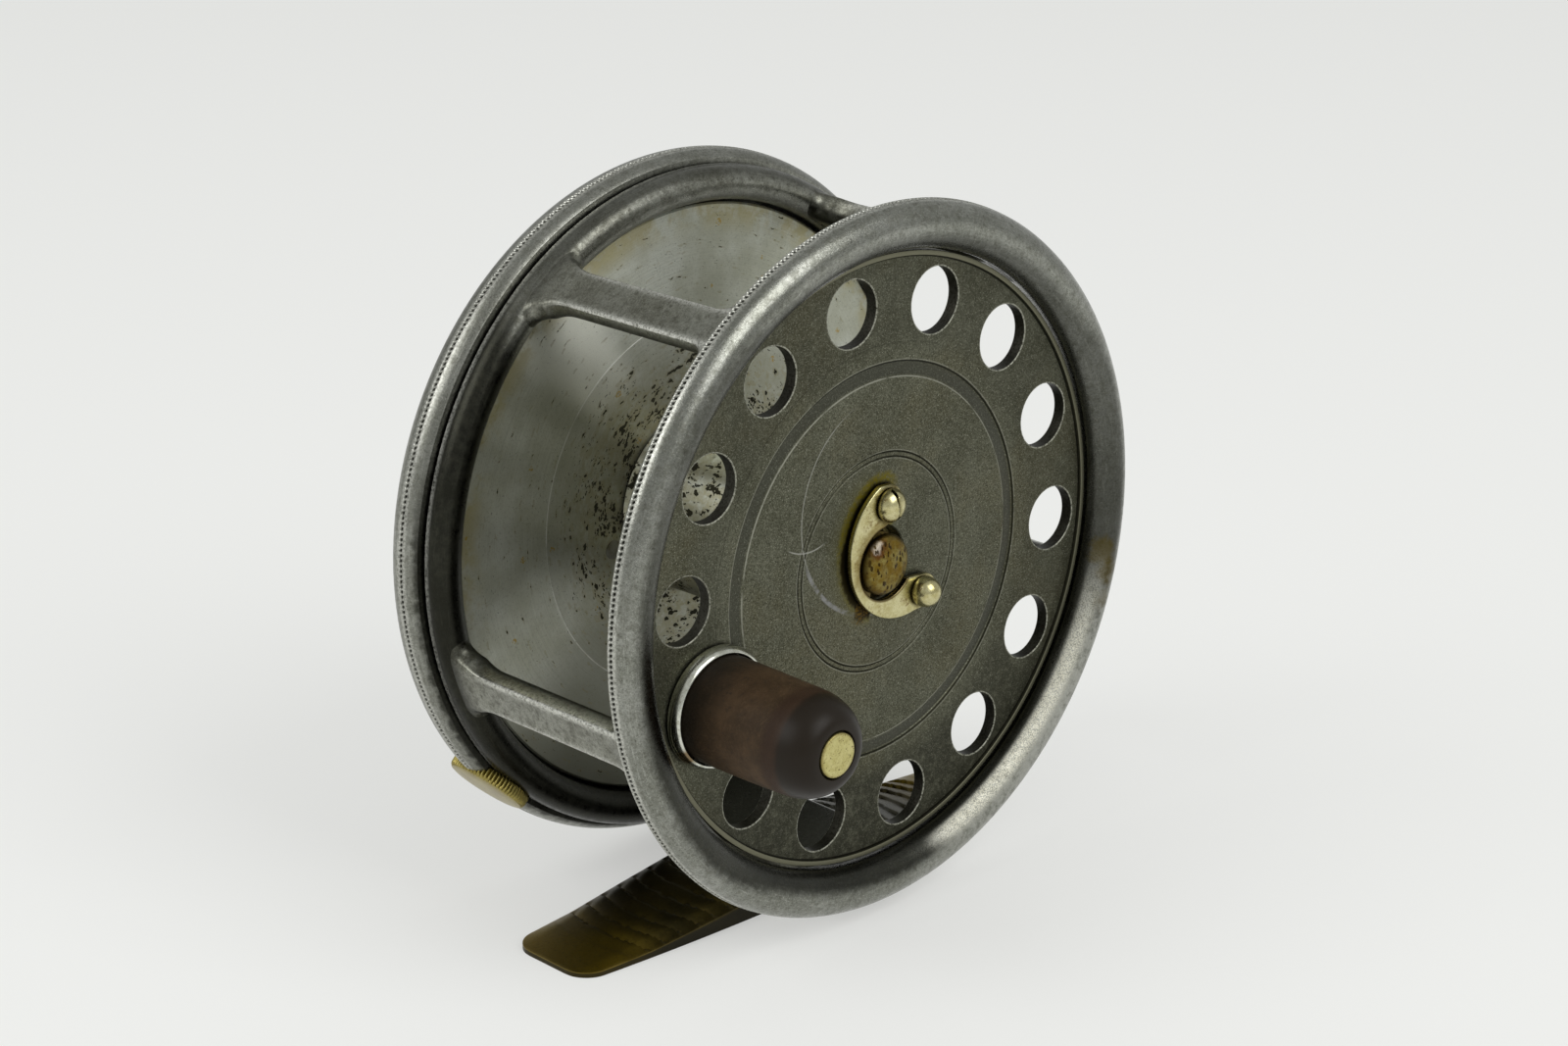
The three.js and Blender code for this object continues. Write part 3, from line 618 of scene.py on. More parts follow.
def latch_metal():
    """Polished nickel silver gone yellow, dark where cloth can't reach."""
    f = Finish("latch_metal")
    mottle = f.noise(0.9, 5, 0.6)
    fine = f.noise(5, 5, 0.7)
    f.ground(mottle, 0.35, 0.7, (0.62, 0.58, 0.33), (0.46, 0.41, 0.19))
    f.lay((0.24, 0.18, 0.055), fine, 0.5, 0.7, 0.5)
    stain = f.both(f.patches(0.52, 0.64, 0.5, 4, 0.7), f.patches(0.42, 0.6, 2.2, 4, 0.7))
    f.coat((0.16, 0.085, 0.018), stain, 0.75)
    bore = f.distance_from(*LATCH_BORE)
    f.lay((0.23, 0.17, 0.045), f.ragged(bore, 2.2, 0.8, 4, 0.7), 7.2, 5.9, f.band(f.z, -5, -1), 0.75)
    f.lay((0.085, 0.05, 0.01), bore, 5.75, 5.5, 0.8)
    for place, size in ((LATCH_PIVOT, 2.4), (LATCH_BALL, 1.9)):
        ring = f.ragged(f.distance_from(*place), 1, 1.3, 4, 0.7)
        seat = f.both(f.band(ring, size + 0.9, size + 0.1), f.band(f.y, -0.72, -0.62))
        f.coat((0.06, 0.042, 0.008), seat, 0.8)
    # Painted shade in corners and gaps, from ambient occlusion.
    f.lay((0.04, 0.029, 0.005), f.occlusion_shade(1.5), 0.26, 0.7)
    # Painted shade where a piece marks it; no latch piece does.
    f.coat((0.014, 0.011, 0.004), f.attribute("grime"))
    rough = f.add(f.spread(fine, 0.14, 0.36), f.both(stain, 0.15))
    return f.done(rough, f.add(f.both(mottle, 0.6), f.both(fine, 0.4)), 0.05, 0.5)


def spindle_metal():
    """Brown phosphor bronze, pitted all over, with a painted highlight at the upper left of its dome, ringed
    dark.
    """
    f = Finish("spindle_metal")
    patches = f.noise(0.55, 5, 0.65)
    fine = f.noise(3.2, 5, 0.75)
    f.ground(patches, 0.4, 0.62, (0.165, 0.105, 0.014), (0.245, 0.2, 0.06))
    f.lay((0.08, 0.045, 0.007), fine, 0.48, 0.68, 0.75)
    # A painted highlight: a small pale spot at the upper left, with a dark brown ring round it.
    highlight_spot = f.spot((-2.3, -1.5, 3.3), 1.8, 1.2)
    f.lay((0.1, 0.035, 0.012), highlight_spot, 3.1, 2.2, 0.8)
    f.lay((0.62, 0.55, 0.46), highlight_spot, 2.1, 1.3)
    slanted = f.vector("MULTIPLY", f.place, (1.7, 1, 0.9))
    pit = f.cells_within(f.both(f.patches(0.3, 0.52, 0.6, 3), 0.36), 1, slanted)
    f.coat((0.03, 0.016, 0.004), pit, 0.92)
    f.lay((0.06, 0.04, 0.01), f.radius, 3.3, 4.3, 0.75)
    height = f.less(f.add(f.both(patches, 0.5), f.both(fine, 0.5)), f.both(pit, 0.5))
    return f.done(f.spread(f.noise(3), 0.26, 0.55), height, 0.12, 0.8)


def brass_metal(name="brass_metal", bright=(0.6, 0.5, 0.2), dull=(0.36, 0.27, 0.08), rough=(0.2, 0.38)):
    f = Finish(name)
    patches = f.noise(0.35, 5, 0.6)
    specks = f.noise(4, 4, 0.7)
    f.ground(patches, 0.38, 0.7, bright, dull)
    f.lay((0.14, 0.1, 0.03), specks, 0.55, 0.72, 0.7)
    # Painted shade in corners and gaps, from ambient occlusion.
    f.lay((0.05, 0.035, 0.008), f.occlusion_shade(0.8), 0.35, 0.9)
    return f.done(f.spread(specks, *rough), specks, 0.03, 0.5)


def pin_metal():
    f = Finish("pin_metal", HANDLE)
    patches = f.noise(0.8, 4)
    specks = f.noise(3.5, 5, 0.7)
    f.ground(patches, 0.4, 0.7, (0.6, 0.55, 0.25), (0.49, 0.44, 0.17))
    f.lay((0.28, 0.22, 0.07), specks, 0.52, 0.66, 0.75)
    f.coat((0.09, 0.06, 0.012), f.cells_within(0.16, 1.5), 0.8)
    f.lay((0.2, 0.15, 0.04), f.radius, 2.6, 3, 0.6)
    return f.done(f.spread(specks, 0.36, 0.55), specks, 0.04, 0.7)


def ferrule_metal():
    f = Finish("ferrule_metal", HANDLE)
    mottle = f.noise(0.8, 4)
    f.ground(mottle, 0.4, 0.7, (0.66, 0.67, 0.6), (0.46, 0.46, 0.38))
    reach = f.spot((-6.4, -0.9, -4.9), 1.6, 1.5)
    f.lay((0.15, 0.08, 0.012), reach, 2.8, 1.6, 0.85)
    f.coat((0.16, 0.14, 0.07), f.patches(0.54, 0.68, 3, 4, 0.7), 0.5)
    # Painted shade in corners and gaps, from ambient occlusion.
    f.lay((0.035, 0.032, 0.016), f.occlusion_shade(0.9), 0.4, 0.9)
    return f.done(f.spread(f.noise(3), 0.1, 0.32), f.noise(2), 0.03, 0.4)


def ebonite():
    """Aged hard rubber: brown and matt on the barrel, dark and smooth on the dome."""
    f = Finish("ebonite", HANDLE, 0)
    f.shader.inputs["Specular IOR Level"].default_value = 0.19
    patches = f.noise(0.22, 5, 0.6)
    grain = f.noise(2.2, 6, 0.75)
    f.ground(patches, 0.35, 0.68, (0.034, 0.02, 0.009), (0.062, 0.0365, 0.0175))
    f.lay((0.088, 0.054, 0.028), grain, 0.46, 0.72, 0.6)
    f.coat((0.016, 0.011, 0.007), f.patches(0.55, 0.68, 1.1, 5, 0.7), 0.6)
    base = f.ragged(f.y, 7, 0.25, 4)
    f.lay((0.01, 0.0085, 0.0055), base, -9, -1, 0.85)
    dome = f.band(f.add(f.y, f.both(f.noise(0.3, 3), 1)), -16.6, -17.8)
    ring = f.both(f.band(f.y, -14.6, -16.4), f.band(f.y, -18.6, -17.2))
    f.coat((0.013, 0.0088, 0.0048), dome)
    f.coat((0.026, 0.0125, 0.0065), ring, 0.75)
    rough = f.less(f.spread(grain, 0.46, 0.62), f.both(dome, 0.14))
    return f.done(rough, f.both(grain, f.less(1.03, dome)), 0.08, 0.6)


def foot_metal():
    """Bronzed brass: olive brown, worn gold at the tips and edges, with a painted highlight on the rib crests
    and painted shade on its sides.
    """
    f = Finish("foot_metal")
    patches = f.noise(0.12, 5, 0.62)
    grain = f.noise(2.2, 6, 0.75)
    f.ground(patches, 0.4, 0.66, (0.038, 0.031, 0.012), (0.07, 0.054, 0.016))
    tip = f.band(f.add(f.math("ABSOLUTE", f.x), f.both(f.noise(0.15, 4), 8)), 29, 46)
    f.coat((0.22, 0.15, 0.011), tip, 0.75)
    f.lay((0.02, 0.017, 0.009), grain, 0.5, 0.72, 0.5)
    f.lay((0.15, 0.12, 0.05), grain, 0.42, 0.28, 0.4)
    # Worn gold at the tips and edges; on the rib crests this is a painted highlight.
    f.coat((0.4, 0.3, 0.09), f.attribute("wear"), 0.9)
    # Painted shade on the foot's sides and underside.
    f.coat((0.02, 0.019, 0.014), f.attribute("grime"), 0.85)
    f.lay((0.1, 0.1, 0.092), f.x, 3, 8, f.band(f.x, 30, 20), 0.8)
    return f.done(f.spread(grain, 0.3, 0.48), grain, 0.06, 0.6)


def steel_metal():
    f = Finish("steel_metal")
    patches = f.noise(0.6, 5, 0.65)
    fine = f.noise(6, 3)
    f.ground(patches, 0.4, 0.7, (0.3, 0.3, 0.28), (0.16, 0.14, 0.1))
    # Painted shade in corners and gaps, from ambient occlusion.
    f.lay((0.05, 0.04, 0.03), f.occlusion_shade(0.7), 0.4, 0.95)
    return f.done(f.spread(fine, 0.25, 0.45), fine, 0.02, 0.5)


BLACKENED = (0.016, 0.016, 0.012)
RING = cage_metal("ring_metal", (0.225, 0.23, 0.2), (0.31, 0.315, 0.285), (0.11, 0.11, 0.084), 0.7,
                  inner_slope, True, 0.9, (0.19, 0.35))
CAGE = cage_metal("cage_metal", (0.18, 0.18, 0.146), (0.255, 0.258, 0.22), (0.07, 0.068, 0.048), 0.85,
                  cage_inside)
REAR = cage_metal("rear_ring_metal", (0.215, 0.216, 0.18), (0.32, 0.325, 0.285), (0.09, 0.088, 0.064), 0.7,
                  rear_shade)
RIM = cage_metal("rim_metal", (0.205, 0.208, 0.18), (0.28, 0.283, 0.255), (0.105, 0.104, 0.08), 0.6,
                 rim_shade)
FACE, LATCH, SPINDLE = face_metal(), latch_metal(), spindle_metal()
FLANGE, ARBOR = bright_metal("flange_metal", True), bright_metal("arbor_metal", False)
BRASS, PIN, FERRULE, EBONITE = brass_metal(), pin_metal(), ferrule_metal(), ebonite()
FOOT, STEEL = foot_metal(), steel_metal()
KNOB = brass_metal("knob_metal", (0.34, 0.285, 0.09), (0.25, 0.195, 0.052), (0.22, 0.38))

for name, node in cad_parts.items():
    node.data.materials.clear()
    node.data.materials.append(BRASS if name.startswith(("foot_screw", "check_wheel", "spool_bush")) else STEEL)


# ------ cage
def milled_band(radius, y, bead, tilt):
    """A strip round a rim's bead, with a row of small slanted pits, and how deep in a pit each point is."""
    count = round(2 * pi * (radius + bead) / MILLED_PITCH)
    turns = np.linspace(0, 2 * np.pi, count * 8, endpoint=False)
    phase = np.arange(count * 8) % 8 / 8 * 2 * np.pi
    rows, pits = [], []
    for i, s in enumerate([*np.linspace(-0.5, 0.5, 13), 0.5, -0.5]):  # the last two close it from below
        pit = np.clip(1 - (s / 0.36) ** 2, 0, 1) ** 0.6 * (0.5 - 0.5 * np.cos(phase - s * 2.6)) ** 0.9
        facing = radians(tilt) + s * MILLED_WIDTH / bead
        reach = bead - MILLED_DEPTH * pit - (0.7 if i > 12 else 0)
        rows.append((radius + cos(facing) * reach, y + sin(facing) * reach))
        pits.append(np.clip(pit * 1.4 - 0.25, 0, 1))
    grid = np.stack([np.stack([np.cos(turns) * r, d, np.sin(turns) * r], -1) for r, d in rows], 1)
    return (grid.reshape(-1, 3), wrapped(len(turns), len(rows))), np.stack(pits, 1).reshape(-1)


def cast(name, part, material, node, sharp=60, **shares):
    piece(name, part, material, "frame", [node], "cage_metal", sharp, **shares)


def add_milling(name, bead, tilt, material, node):
    """The pits round a bead, which is (radius, y, size), and the worn strip that they are in."""
    dots, pits = milled_band(*bead[:2], bead[2] + 0.02, tilt)
    # The pits get painted shade; the strip between them is worn bright.
    cast(name, dots, material, node, 38, wear=lambda v: 0.55 * (1 - pits), grime=lambda v: pits)


def bead_outline(bead, start, end, tilt):
    """A bead's outline between two angles, with a shallow seat where its milled strip lies."""
    radius, y, size = bead
    half = degrees(MILLED_WIDTH / 2 / size)
    toward = 1 if end > start else -1
    before, after = tilt - toward * half, tilt + toward * half
    seat = arc(radius, y, size - 0.5, before, after, 4)
    lead = arc(radius, y, size, start, before, max(2, int(abs(before - start) / 3)))
    return [*lead, *seat, *arc(radius, y, size, after, end, max(2, int(abs(end - after) / 3)))]


def beside_milling(bead, tilt, share):
    """How worn a bead is: bright on both sides of its milled strip."""
    radius, y, size = bead

    def wear(verts):
        across = np.degrees(np.arctan2(verts[:, 1] - y, np.hypot(verts[:, 0], verts[:, 2]) - radius)) - tilt
        return share * np.exp(-((np.abs(across) - 9) / 4) ** 2)

    return wear


def blended(a, b, reach):
    """The smaller of two distances, with a fillet of about that reach where they meet."""
    share = np.clip(0.5 + 0.5 * (b - a) / reach, 0, 1)
    return b + (a - b) * share - reach * share * (1 - share)


def soft_box(a, b, corner):
    """Distance to a rounded corner from the distances to its two sides."""
    a, b = a + corner, b + corner
    return np.minimum(np.maximum(a, b), 0) + np.hypot(np.maximum(a, 0), np.maximum(b, 0)) - corner


def pillar(half, inner, outer, hollow):
    """One pillar with the fillets into both rings, standing out along +Z: side is X, depth is Y."""
    rear_radius, rear_y, rear_size = REAR_BEAD[0], REAR_BEAD[1], REAR_BEAD[2] - 0.05

    def field(points):
        side, y, out = np.abs(points[..., 0]), points[..., 1], points[..., 2]
        radius = np.hypot(points[..., 0], out)
        root = soft_box(np.abs(radius - 46.45) - 2, np.abs(y - 1.2) - 1.12, 0.3)
        rear = np.hypot(radius - rear_radius, np.maximum(rear_y - y, 0)) - rear_size
        rear = np.maximum(rear, y - 38.2)
        rings = np.maximum(np.minimum(root, rear), side - half - 9)
        middle, tall = (inner + outer) / 2, (outer - inner) / 2
        bar = soft_box(side - half, np.abs(out - middle) - tall, np.where(out > middle, 0.45, 1.75))
        bar += np.where(out > middle, hollow * np.clip(1 - (side / (half * 0.86)) ** 2, 0, 1), 0)
        bar = np.maximum(bar, np.abs(y - 19) - 16.4)
        reach = np.interp(y, (3, 10, 25, 33, 37.5), (3.2, 3.2, 6.6, 6.4, 1.6))
        crest = np.sqrt(np.clip(rear_size ** 2 - (rear_y - y) ** 2, 0, None))
        skin = np.maximum(radius - np.maximum(outer + 0.08, rear_radius + crest), 44.3 - radius)
        return -blended(-blended(rings, bar, reach), -skin, 0.5)

    return grown(field, (-half - 9.6, -0.6, 40.5), (half + 9.6, 38.8, 50.2), 0.32)


def stood_at(part, angle):
    """A pillar made along +Z, carried round the axis to an angle."""
    return turned_to(part, Matrix.Rotation(radians(90 - angle), 4, "Y"))


# Bright along each pillar's outer ridge, fading towards the rear ring: worn metal and a painted highlight.
def ridge_wear(verts):
    shine = np.zeros(len(verts))
    for angle in PILLAR_ANGLES.values():
        x, z = polar(1, angle)
        out = verts[:, 0] * x + verts[:, 2] * z
        side = np.abs(verts[:, 2] * x - verts[:, 0] * z)
        ridge = np.exp(-((side - 2.9) / 0.6) ** 2 - ((out - 48.1) / 0.8) ** 2)
        shine += ridge * np.clip((33 - verts[:, 1]) / 6, 0, 1)
    return np.clip(shine, 0, 1) * 0.95


def cage():
    """One casting in the real reel: both rings, the four pillars and the foot's pillar."""
    root = [(44, 0.5), (44.3, 1.2), (44.4, 2.25), (44.55, 2.4), (48.35, 2.4), (48.5, 2.25)]
    cove = arc(49.2, 0.7, 0.7, 180, 270, 8)
    ring = [*bead_outline(FRONT_BEAD, -2, -180, FRONT_TILT), *root, *cove, (50.62, 0), (50.74, -0.04)]
    cast("front_ring_bead", lathe(ring, 360), RING, "front_ring", 40,
         wear=beside_milling(FRONT_BEAD, FRONT_TILT, 0.6))
    add_milling("front_ring_milling", FRONT_BEAD, FRONT_TILT, RING, "front_ring")
    rear = [*arc(*REAR_BEAD, 180, 360, 40), (49.1, 38.48), (48.98, 38.6), (44.22, 38.6), (44.1, 38.48)]
    cast("rear_ring_bead", lathe(rear, 288), REAR, "cage_rear_ring", 40,
         wear=lambda v: np.where((v[:, 1] > 38.4) & (np.hypot(v[:, 0], v[:, 2]) > 48), 0.7, 0))
    bar = pillar(3, 44.7, 48.45, 0.22)
    for name, angle in PILLAR_ANGLES.items():
        cast(f"pillar_{name}_casting", stood_at(bar, angle), CAGE, "pillar_" + name, wear=ridge_wear)
    post = stood_at(pillar(9, 44.6, 48.8, 0), 270)
    cast("foot_pillar_casting", post, CAGE, "foot_pillar", wear=ridge_wear)


def back_plate():
    rim = bead_outline(BACK_BEAD, -50, 78, BACK_TILT)
    back = [(47.2, 45.55), (46, 45.75), (45.2, 46), (38.4, 46), (38.1, 45.85), (37.8, 46), (12.5, 46),
            (12.2, 45.8), (11.6, 45.8), (11.3, 46), (5.6, 46), (5.2, 45.9), (1.5, 45.9), (1.5, 44.4)]
    front = [(44.2, 44.4), (44.2, 38.9)]
    cast("back_plate_turned", lathe([*rim, *back, *front], 360), RIM, "back_plate", 40,
         wear=beside_milling(BACK_BEAD, BACK_TILT, 0.5))
    add_milling("back_rim_milling", BACK_BEAD, BACK_TILT, RIM, "back_plate")


cage()
back_plate()


# ------ spool
def spool():
    lip = rounded([(42.9, 0.7), (42.9, 0.25), (43.6, 0.25), (43.6, 2.6), (42.8, 2.6)], 0.12, 3)
    trough = [(31, 0.7), (28.45, 0.7), (28.25, 0.82), (28.05, 1), (27.4, 0.98), (26.6, 0.86), (26.15, 0.78),
              (26, 0.7), (15.8, 0.7), (15.65, 0.84), (15.5, 0.7), (15.1, 0.7), (14.95, 0.84), (14.8, 0.7),
              (5.45, 0.7), (5.3, 0.85), (5.3, 2.6), (31, 2.6)]
    middles = [polar(HOLE_CIRCLE, FIRST_HOLE - k * 360 / HOLES) for k in range(HOLES) if k != HOLE_GAP]
    holes = [arc(*middle, HOLE_RADIUS, 0, 357, 119) for middle in middles]
    ring = plate([arc(0, 0, 42.95, 0, 359, 359), arc(0, 0, 30.95, 0, 359, 359), *holes], 0.7, 2.6, 0.14)

    # Painted shade on the walls of the holes, near black.
    def walls(verts):
        radius, y = np.hypot(verts[:, 0], verts[:, 2]), verts[:, 1]
        return np.where((y > 0.82) & (y < 2.5) & (radius > 30.5) & (radius < 42.5), 0.9, 0)

    sheet = together(ring, lathe(trough, 288), lathe(lip, 288))
    piece("spool_face_plate", sheet, FACE, "spool", ["spool_face"], "spool_dark", 30, grime=walls)
    flange = [(7.3, 38), (27.7, 38), (27.8, 38.04), (27.9, 38), (43.3, 38), (43.6, 38.2), (43.6, 39.4),
              (7.3, 39.4)]
    disc = lathe(flange, 288)
    piece("spool_flange_disc", disc, FLANGE, "spool", ["spool_rear_flange"], "spool_bright", 30)
    arbor = rounded([(7.3, 2.9), (13, 2.9), (13, 36.6), (13.8, 37.7), (7.3, 37.7)], 0.3, 3)
    piece("spool_arbor_tube", lathe(arbor, 160), ARBOR, "spool", ["spool_arbor"], "spool_bright", 30)
    hole = lathe([(0, 37.93), (1.4, 37.93), (1.4, 38.6), (0, 38.6)], 40, polar(15.8, 195))
    piece("line_hole_shadow", hole, STEEL, "spool", ["spool_rear_flange"], "spool_bright")


def spindle():
    dome = [(0, -1.98), (1, -1.95), (2, -1.85), (3, -1.66), (3.7, -1.42), (4.15, -1.1), (4.35, -0.7),
            (4.35, 0), (3.6, 0.1), (3.6, 0.8), (4.35, 0.9), (4.35, 44.1), (0, 44.1)]
    verts, faces = lathe(rounded(dome, 0.2, 2, closed=False), 96)
    for v in verts:
        if v[1] < -0.6:
            v[1] += 0.22 * noise.noise(Vector(v) * 0.9) * min(1, (4.4 - hypot(v[0], v[2])) / 1.5)
    piece("spindle_end", (verts, faces), SPINDLE, "frame", ["spindle"], "spindle_bronze")


def latch():
    outer = arc(4.1, 1.95, 10.7, 118, 283, 70)
    knob_end = arc(8.3, -5.95, 2.5, -75, 95, 24)
    inner = arc(*LATCH_BORE, 5.3, -38, -262, 70)
    eye = arc(*LATCH_PIVOT, LATCH_EYE, -50, 90, 24)
    outline = rounded([*outer, *knob_end, *inner, *eye], 0.2, 1)
    body = plate([outline], -0.55, 0.35, 0.22, 4)
    lip = [*arc(*LATCH_BORE, 5.8, 150, 240, 24), *arc(0.35, 0, 4.3, 236, 154, 24)]
    lip = plate([lip], -0.05, 0.35, 0.05, 1)
    piece("latch_horseshoe", together(body, lip), LATCH, "latch", ["latch_plate"], "latch_nickel_brass", 30)
    ball = [(max(r, 0), -1.4 + y) for r, y in arc(0, 0, 2.2, 50, -90, 26)]
    ball = lathe([(0, 0.35), (1, 0.35), (1, -0.5), (1.15, -0.6), *ball], 64, LATCH_BALL)
    piece("latch_ball", ball, LATCH, "latch", ["latch_knob"], "latch_nickel_brass")


def screw(name, node, body, material, slot, radius, height, seat, out, at, turn, shank, length, slot_width,
          deep=1.1):
    """A slotted screw along Y. out is the way its head stands, -1 to the front or 1 to the back."""
    crown = [(radius * cos(a), seat + out * height * (0.14 + 0.86 * sin(a)))
             for a in np.linspace(0, pi / 2, 12)]
    profile = [(0, seat - out * length), (shank, seat - out * length), (shank, seat), (radius * 0.97, seat)]
    made = piece(name, lathe([*profile, *crown], 64), material, body, [node], slot)
    cutter = bpy.data.meshes.new("cutter")
    bm = bmesh.new()
    size = Vector((radius * slot_width, height * deep, radius * 3)) * MM
    bmesh.ops.create_cube(bm, size=1, matrix=Matrix.Diagonal((*size, 1)))
    bm.to_mesh(cutter)
    bm.free()
    tool = shown("cutter", cutter)
    place = AXIS + Vector((0, seat + out * height, 0)) * MM
    tool.matrix_world = Matrix.Translation(place) @ Matrix.Rotation(radians(turn), 4, "Y")
    bpy.context.view_layer.update()
    cut = made.modifiers.new("slot", "BOOLEAN")
    cut.object = tool
    cut.operation = "DIFFERENCE"
    cut.solver = "EXACT"
    bpy.context.view_layer.update()
    shaped = bpy.data.meshes.new_from_object(made.evaluated_get(bpy.context.evaluated_depsgraph_get()))
    made.modifiers.clear()
    made.data = shaped
    shaped.transform(Matrix.Translation(Vector((at[0], 0, at[1])) * MM))
    shaped.polygons.foreach_set("use_smooth", [True] * len(shaped.polygons))
    shaped.set_sharp_from_angle(angle=radians(32))
    bpy.data.objects.remove(tool)


def screws():
    screw("latch_pivot_head", "latch_pivot_screw", "spool", LATCH, "latch_nickel_brass", 2.4, 2.2, -0.55, -1,
          LATCH_PIVOT, -8, 1, 2.8, 0.23, 1.45)
    screw("spindle_screw_head", "spindle_screw", "frame", STEEL, "steel", 4, 1.3, 46.2, 1,
          (0, 0), 35, 1.1, 9, 0.2)
    for i, (angle, turn) in enumerate(((127, 20), (55, 75), (199, 140), (-17, 5), (270, 100)), 1):
        screw(f"cage_screw_{i}_head", f"cage_screw_{i}", "frame", STEEL, "steel", 2.1, 0.9, 45.45, 1,
              polar(46, angle), turn, 1, 8, 0.24)


def handle():
    x, z = HANDLE
    ring = [(2.2, 0.4), (8.6, 0.4), (8.62, 0), (8.56, -0.4), (8.42, -0.8), (8.2, -1.15), (7.98, -1.35),
            (7.8, -1.38), (7.66, -1.28), (7.62, -1), (7.62, -0.2), (2.2, -0.2)]
    piece("ferrule_ring", lathe(rounded(ring, 0.12, 2), 128, HANDLE), FERRULE, "spool", ["handle_ferrule"],
          "ferrule_nickel")
    body = [(2.25, -0.5), (7.2, -0.5), (7.5, -0.75), (7.48, -4), (7.44, -8), (7.36, -12), (7.3, -15.6),
            (7.26, -16.2)]
    for i in range(1, 17):
        a = i / 16 * pi / 2
        body.append((3.4 + 3.86 * cos(a) ** 0.9 if i < 16 else 3.4, -16.4 - 5.8 * sin(a) ** 1.15))
    body += [(3.3, -22.1), (3.3, -21), (2.25, -21)]
    verts, faces = lathe(body, 160, HANDLE)
    for v in verts:
        out = hypot(v[0] - x, v[2] - z)
        if out > 4:
            push = 1 + 0.01 * noise.noise(Vector((v[0], v[1] * 0.6, v[2])) * 0.22)
            v[0], v[2] = x + (v[0] - x) * push, z + (v[2] - z) * push
    piece("grip_body", (verts, faces), EBONITE, "grip", ["handle_grip"], "grip_ebonite")
    pin = [(0, 2.2), (1.9, 2.2), (1.9, -21.3), (3.05, -21.3), (3.05, -22.2), (2.9, -22.36), (2, -22.46),
           (0, -22.5)]
    pin = lathe(rounded(pin, 0.1, 2, closed=False), 96, HANDLE)
    piece("handle_pin_head", pin, PIN, "spool", ["handle_pin"], "brass")


def regulator():
    count, radius = 64, 6.1
    profile = [(0, -51.2), (3, -51.18), (5.2, -51.05), (5.75, -50.9), (6, -50.6), (6.1, -50.35), (6.1, -50),
               (6.1, -49.6), (6.1, -49.25), (5.9, -49), (5.6, -48.9), (0, -48.9)]
    segments = count * 8
    verts, faces = lathe(profile, segments)
    turns = np.arange(segments) % 8 / 8 * 2 * np.pi
    depth = 0.3 * (0.5 + 0.5 * np.cos(turns)) ** 1.5
    grid = verts.reshape(segments, len(profile), 3)
    for j, share in ((3, 0.25), (4, 0.7), (5, 1), (6, 1), (7, 1), (8, 1), (9, 0.5)):
        scale = 1 - depth * share / radius
        grid[:, j, 0] *= scale
        grid[:, j, 2] *= scale
    part = turned_to((grid.reshape(-1, 3), faces), radial(REGULATOR_ANGLE, 42.5))
    piece("regulator_disc", part, KNOB, "regulator", ["regulator_knob"], "brass", 40)


spool()
spindle()
latch()
handle()
regulator()
screws()


# ------ foot
def foot():
    low_, high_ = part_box("foot")
    base = (low_.z - AXIS.z) / MM
    middle = ((low_.y + high_.y) / 2 - AXIS.y) / MM
    half, nose = 44.3, 3.6  # the tips are rounded over the nose
    ribs_from, ribs_to, ribs_pitch = 13, 38, 3.1
    rows, columns = 260, 61
    sections, wear = [], []
    for i in range(rows):
        x = half * (2 * i / (rows - 1) - 1)
        x = copysign(half * (1 - (1 - abs(x) / half) ** 1.25), x)
        away = abs(x)
        wide = 9.5 - 2.1 * (away / half) ** 2.2
        if away > half - nose:
            wide -= nose * (1 - sqrt(max(0, 1 - ((away - half + nose) / nose) ** 2)))
        share = min(1, (half - away) / (half - 12))
        edge = 0.75 + 3.15 * share ** 1.15
        section = []
        for j in range(columns):
            across = 2 * j / (columns - 1) - 1
            crown = 0.55 * (1 - across ** 2) * min(1, (half - away) / 8) * (1 if away > 12 else 0)
            shoulder = 0.75 * max(0, (abs(across) - 0.7) / 0.3) ** 2 * min(1, (half - away) / 12)
            step = away + 1.9 * across ** 2
            ribs = crest = 0
            if ribs_from < step < ribs_to:
                phase = (step - ribs_from) / ribs_pitch % 1
                deep = (0.35 + 0.65 * abs(across)) * min(1, (1 - abs(across)) / 0.12)
                # Painted highlight along the rib crests on the near half, laid as wear.
                crest = 0.3 * max(0, (phase - 0.75) / 0.25) * max(0, abs(across) - 0.3) * (x < 0)
                ribs = 0.75 * phase ** 2.4 * min(1, (step - ribs_from) / 2, (ribs_to - step) / 4) * deep
            top = edge + crown * 0.8 - ribs - shoulder
            section.append((x, middle + across * wide, base + max(top, 0.35)))
            rim = max(0, (abs(across) - 0.955) / 0.045) ** 1.5
            rim = min(1, max(rim, (away - half + 0.5) / 0.5)) * max(0, away - 18) / 26
            wear.append(max(rim, crest) * (0.6 + 0.6 * noise.noise(Vector((x * 0.4, across * 3, 0.3)))))
        for j in (columns - 1, *range(columns - 1, -1, -1), 0):
            across = 2 * j / (columns - 1) - 1
            below = len(section) in (columns, 2 * columns + 1)
            section.append((x, middle + across * wide, base + (section[j][2] - base) * (0.8 if below else 0)))
            wear.append(0)
        sections.append(section)
    values = np.clip(np.array(wear), 0, 1)
    # The foot's sides and underside get painted shade.
    flank = np.array([0] * columns + [1] * (columns + 2))
    piece("foot_casting", tube(sections), FOOT, "frame", ["foot"], "foot_bronze", 55, wear=lambda v: values,
          grime=lambda v: np.tile(flank, rows))


foot()


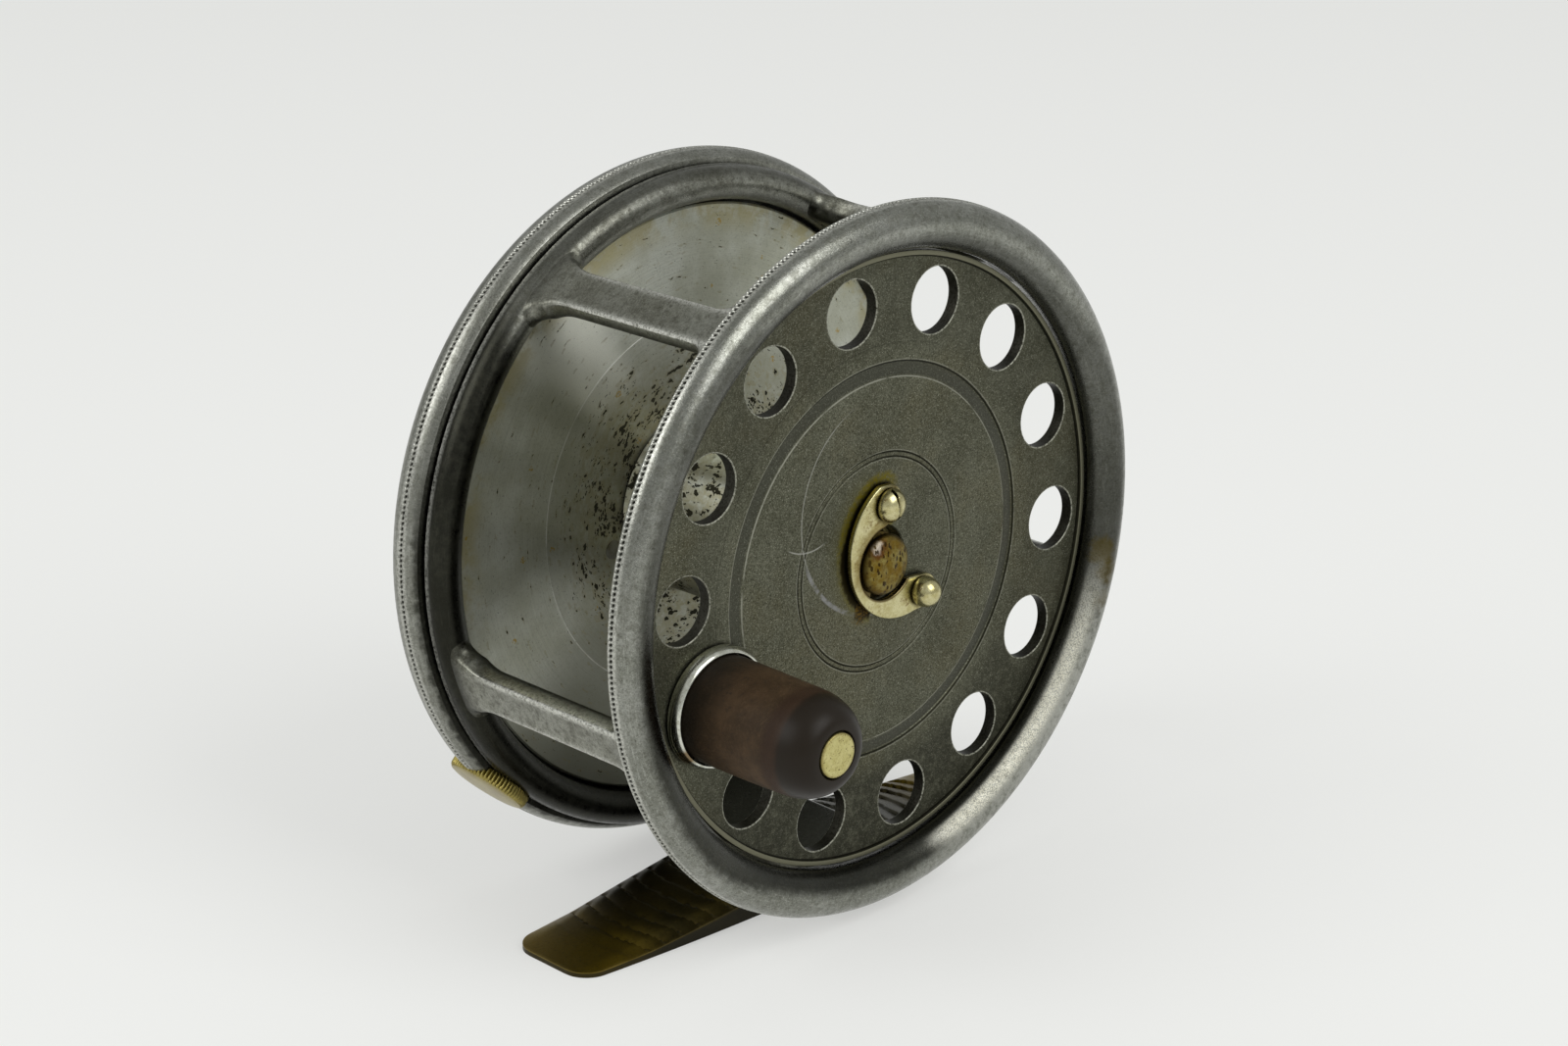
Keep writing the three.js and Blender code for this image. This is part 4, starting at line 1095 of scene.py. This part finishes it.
# ------ stage, light and camera
def stage():
    mesh = bpy.data.meshes.new("floor")
    mesh.from_pydata([(-6, -3, 0), (6, -3, 0), (6, 6, 0), (-6, 6, 0)], [], [(0, 1, 2, 3)])
    floor = shown("floor", mesh)
    floor.location.z = cad_box[0].z
    material = bpy.data.materials.new("floor_paper")
    material.use_nodes = True
    shader = material.node_tree.nodes["Principled BSDF"]
    for socket, value in (("Base Color", (0.46, 0.465, 0.455, 1)), ("Emission Color", (1, 1, 0.98, 1)),
                          ("Emission Strength", 0.44), ("Roughness", 0.9), ("Specular IOR Level", 0.1)):
        shader.inputs[socket].default_value = value
    mesh.materials.append(material)


def light(name, place, size, power):
    data = bpy.data.lights.new(name, "AREA")
    data.shape = "RECTANGLE"
    data.size = data.size_y = size
    data.energy = power
    lamp = shown(name, data)
    lamp.location = place
    aim = Vector((0, 0.02, 0.05)) - Vector(place)
    lamp.rotation_euler = aim.to_track_quat("-Z", "Y").to_euler()


def lights_and_camera():
    world = bpy.data.worlds.new("room")
    bpy.context.scene.world = world
    world.use_nodes = True
    background = world.node_tree.nodes["Background"]
    background.inputs["Color"].default_value = (0.985, 1, 0.985, 1)
    background.inputs["Strength"].default_value = 0.53
    light("softbox_right", (0.118, -0.959, 0.92), 0.78, 6.6)
    light("softbox_left", (-1.016, 0.272, 0.8), 0.78, 4.8)
    camera = bpy.data.cameras.new("camera")
    camera.sensor_width = 36
    camera.lens = 72.65
    camera.clip_start = 0.01
    view = shown("camera", camera)
    azimuth, elevation, roll = (radians(a) for a in (-45.298, 19.269, 0.544))
    level = cos(elevation)
    back = Vector((sin(azimuth) * level, -cos(azimuth) * level, sin(elevation)))
    right = Vector((0, 0, 1)).cross(back).normalized()
    up = back.cross(right)
    right, up = (right * cos(roll) + up * sin(roll), up * cos(roll) - right * sin(roll))
    view.matrix_world = Matrix((right, up, back)).transposed().to_4x4()
    view.location = AXIS + Vector((-299.94, -277.93, 148.61)) * MM
    bpy.context.scene.camera = view
    bpy.context.scene.view_settings.view_transform = "Standard"


stage()
lights_and_camera()
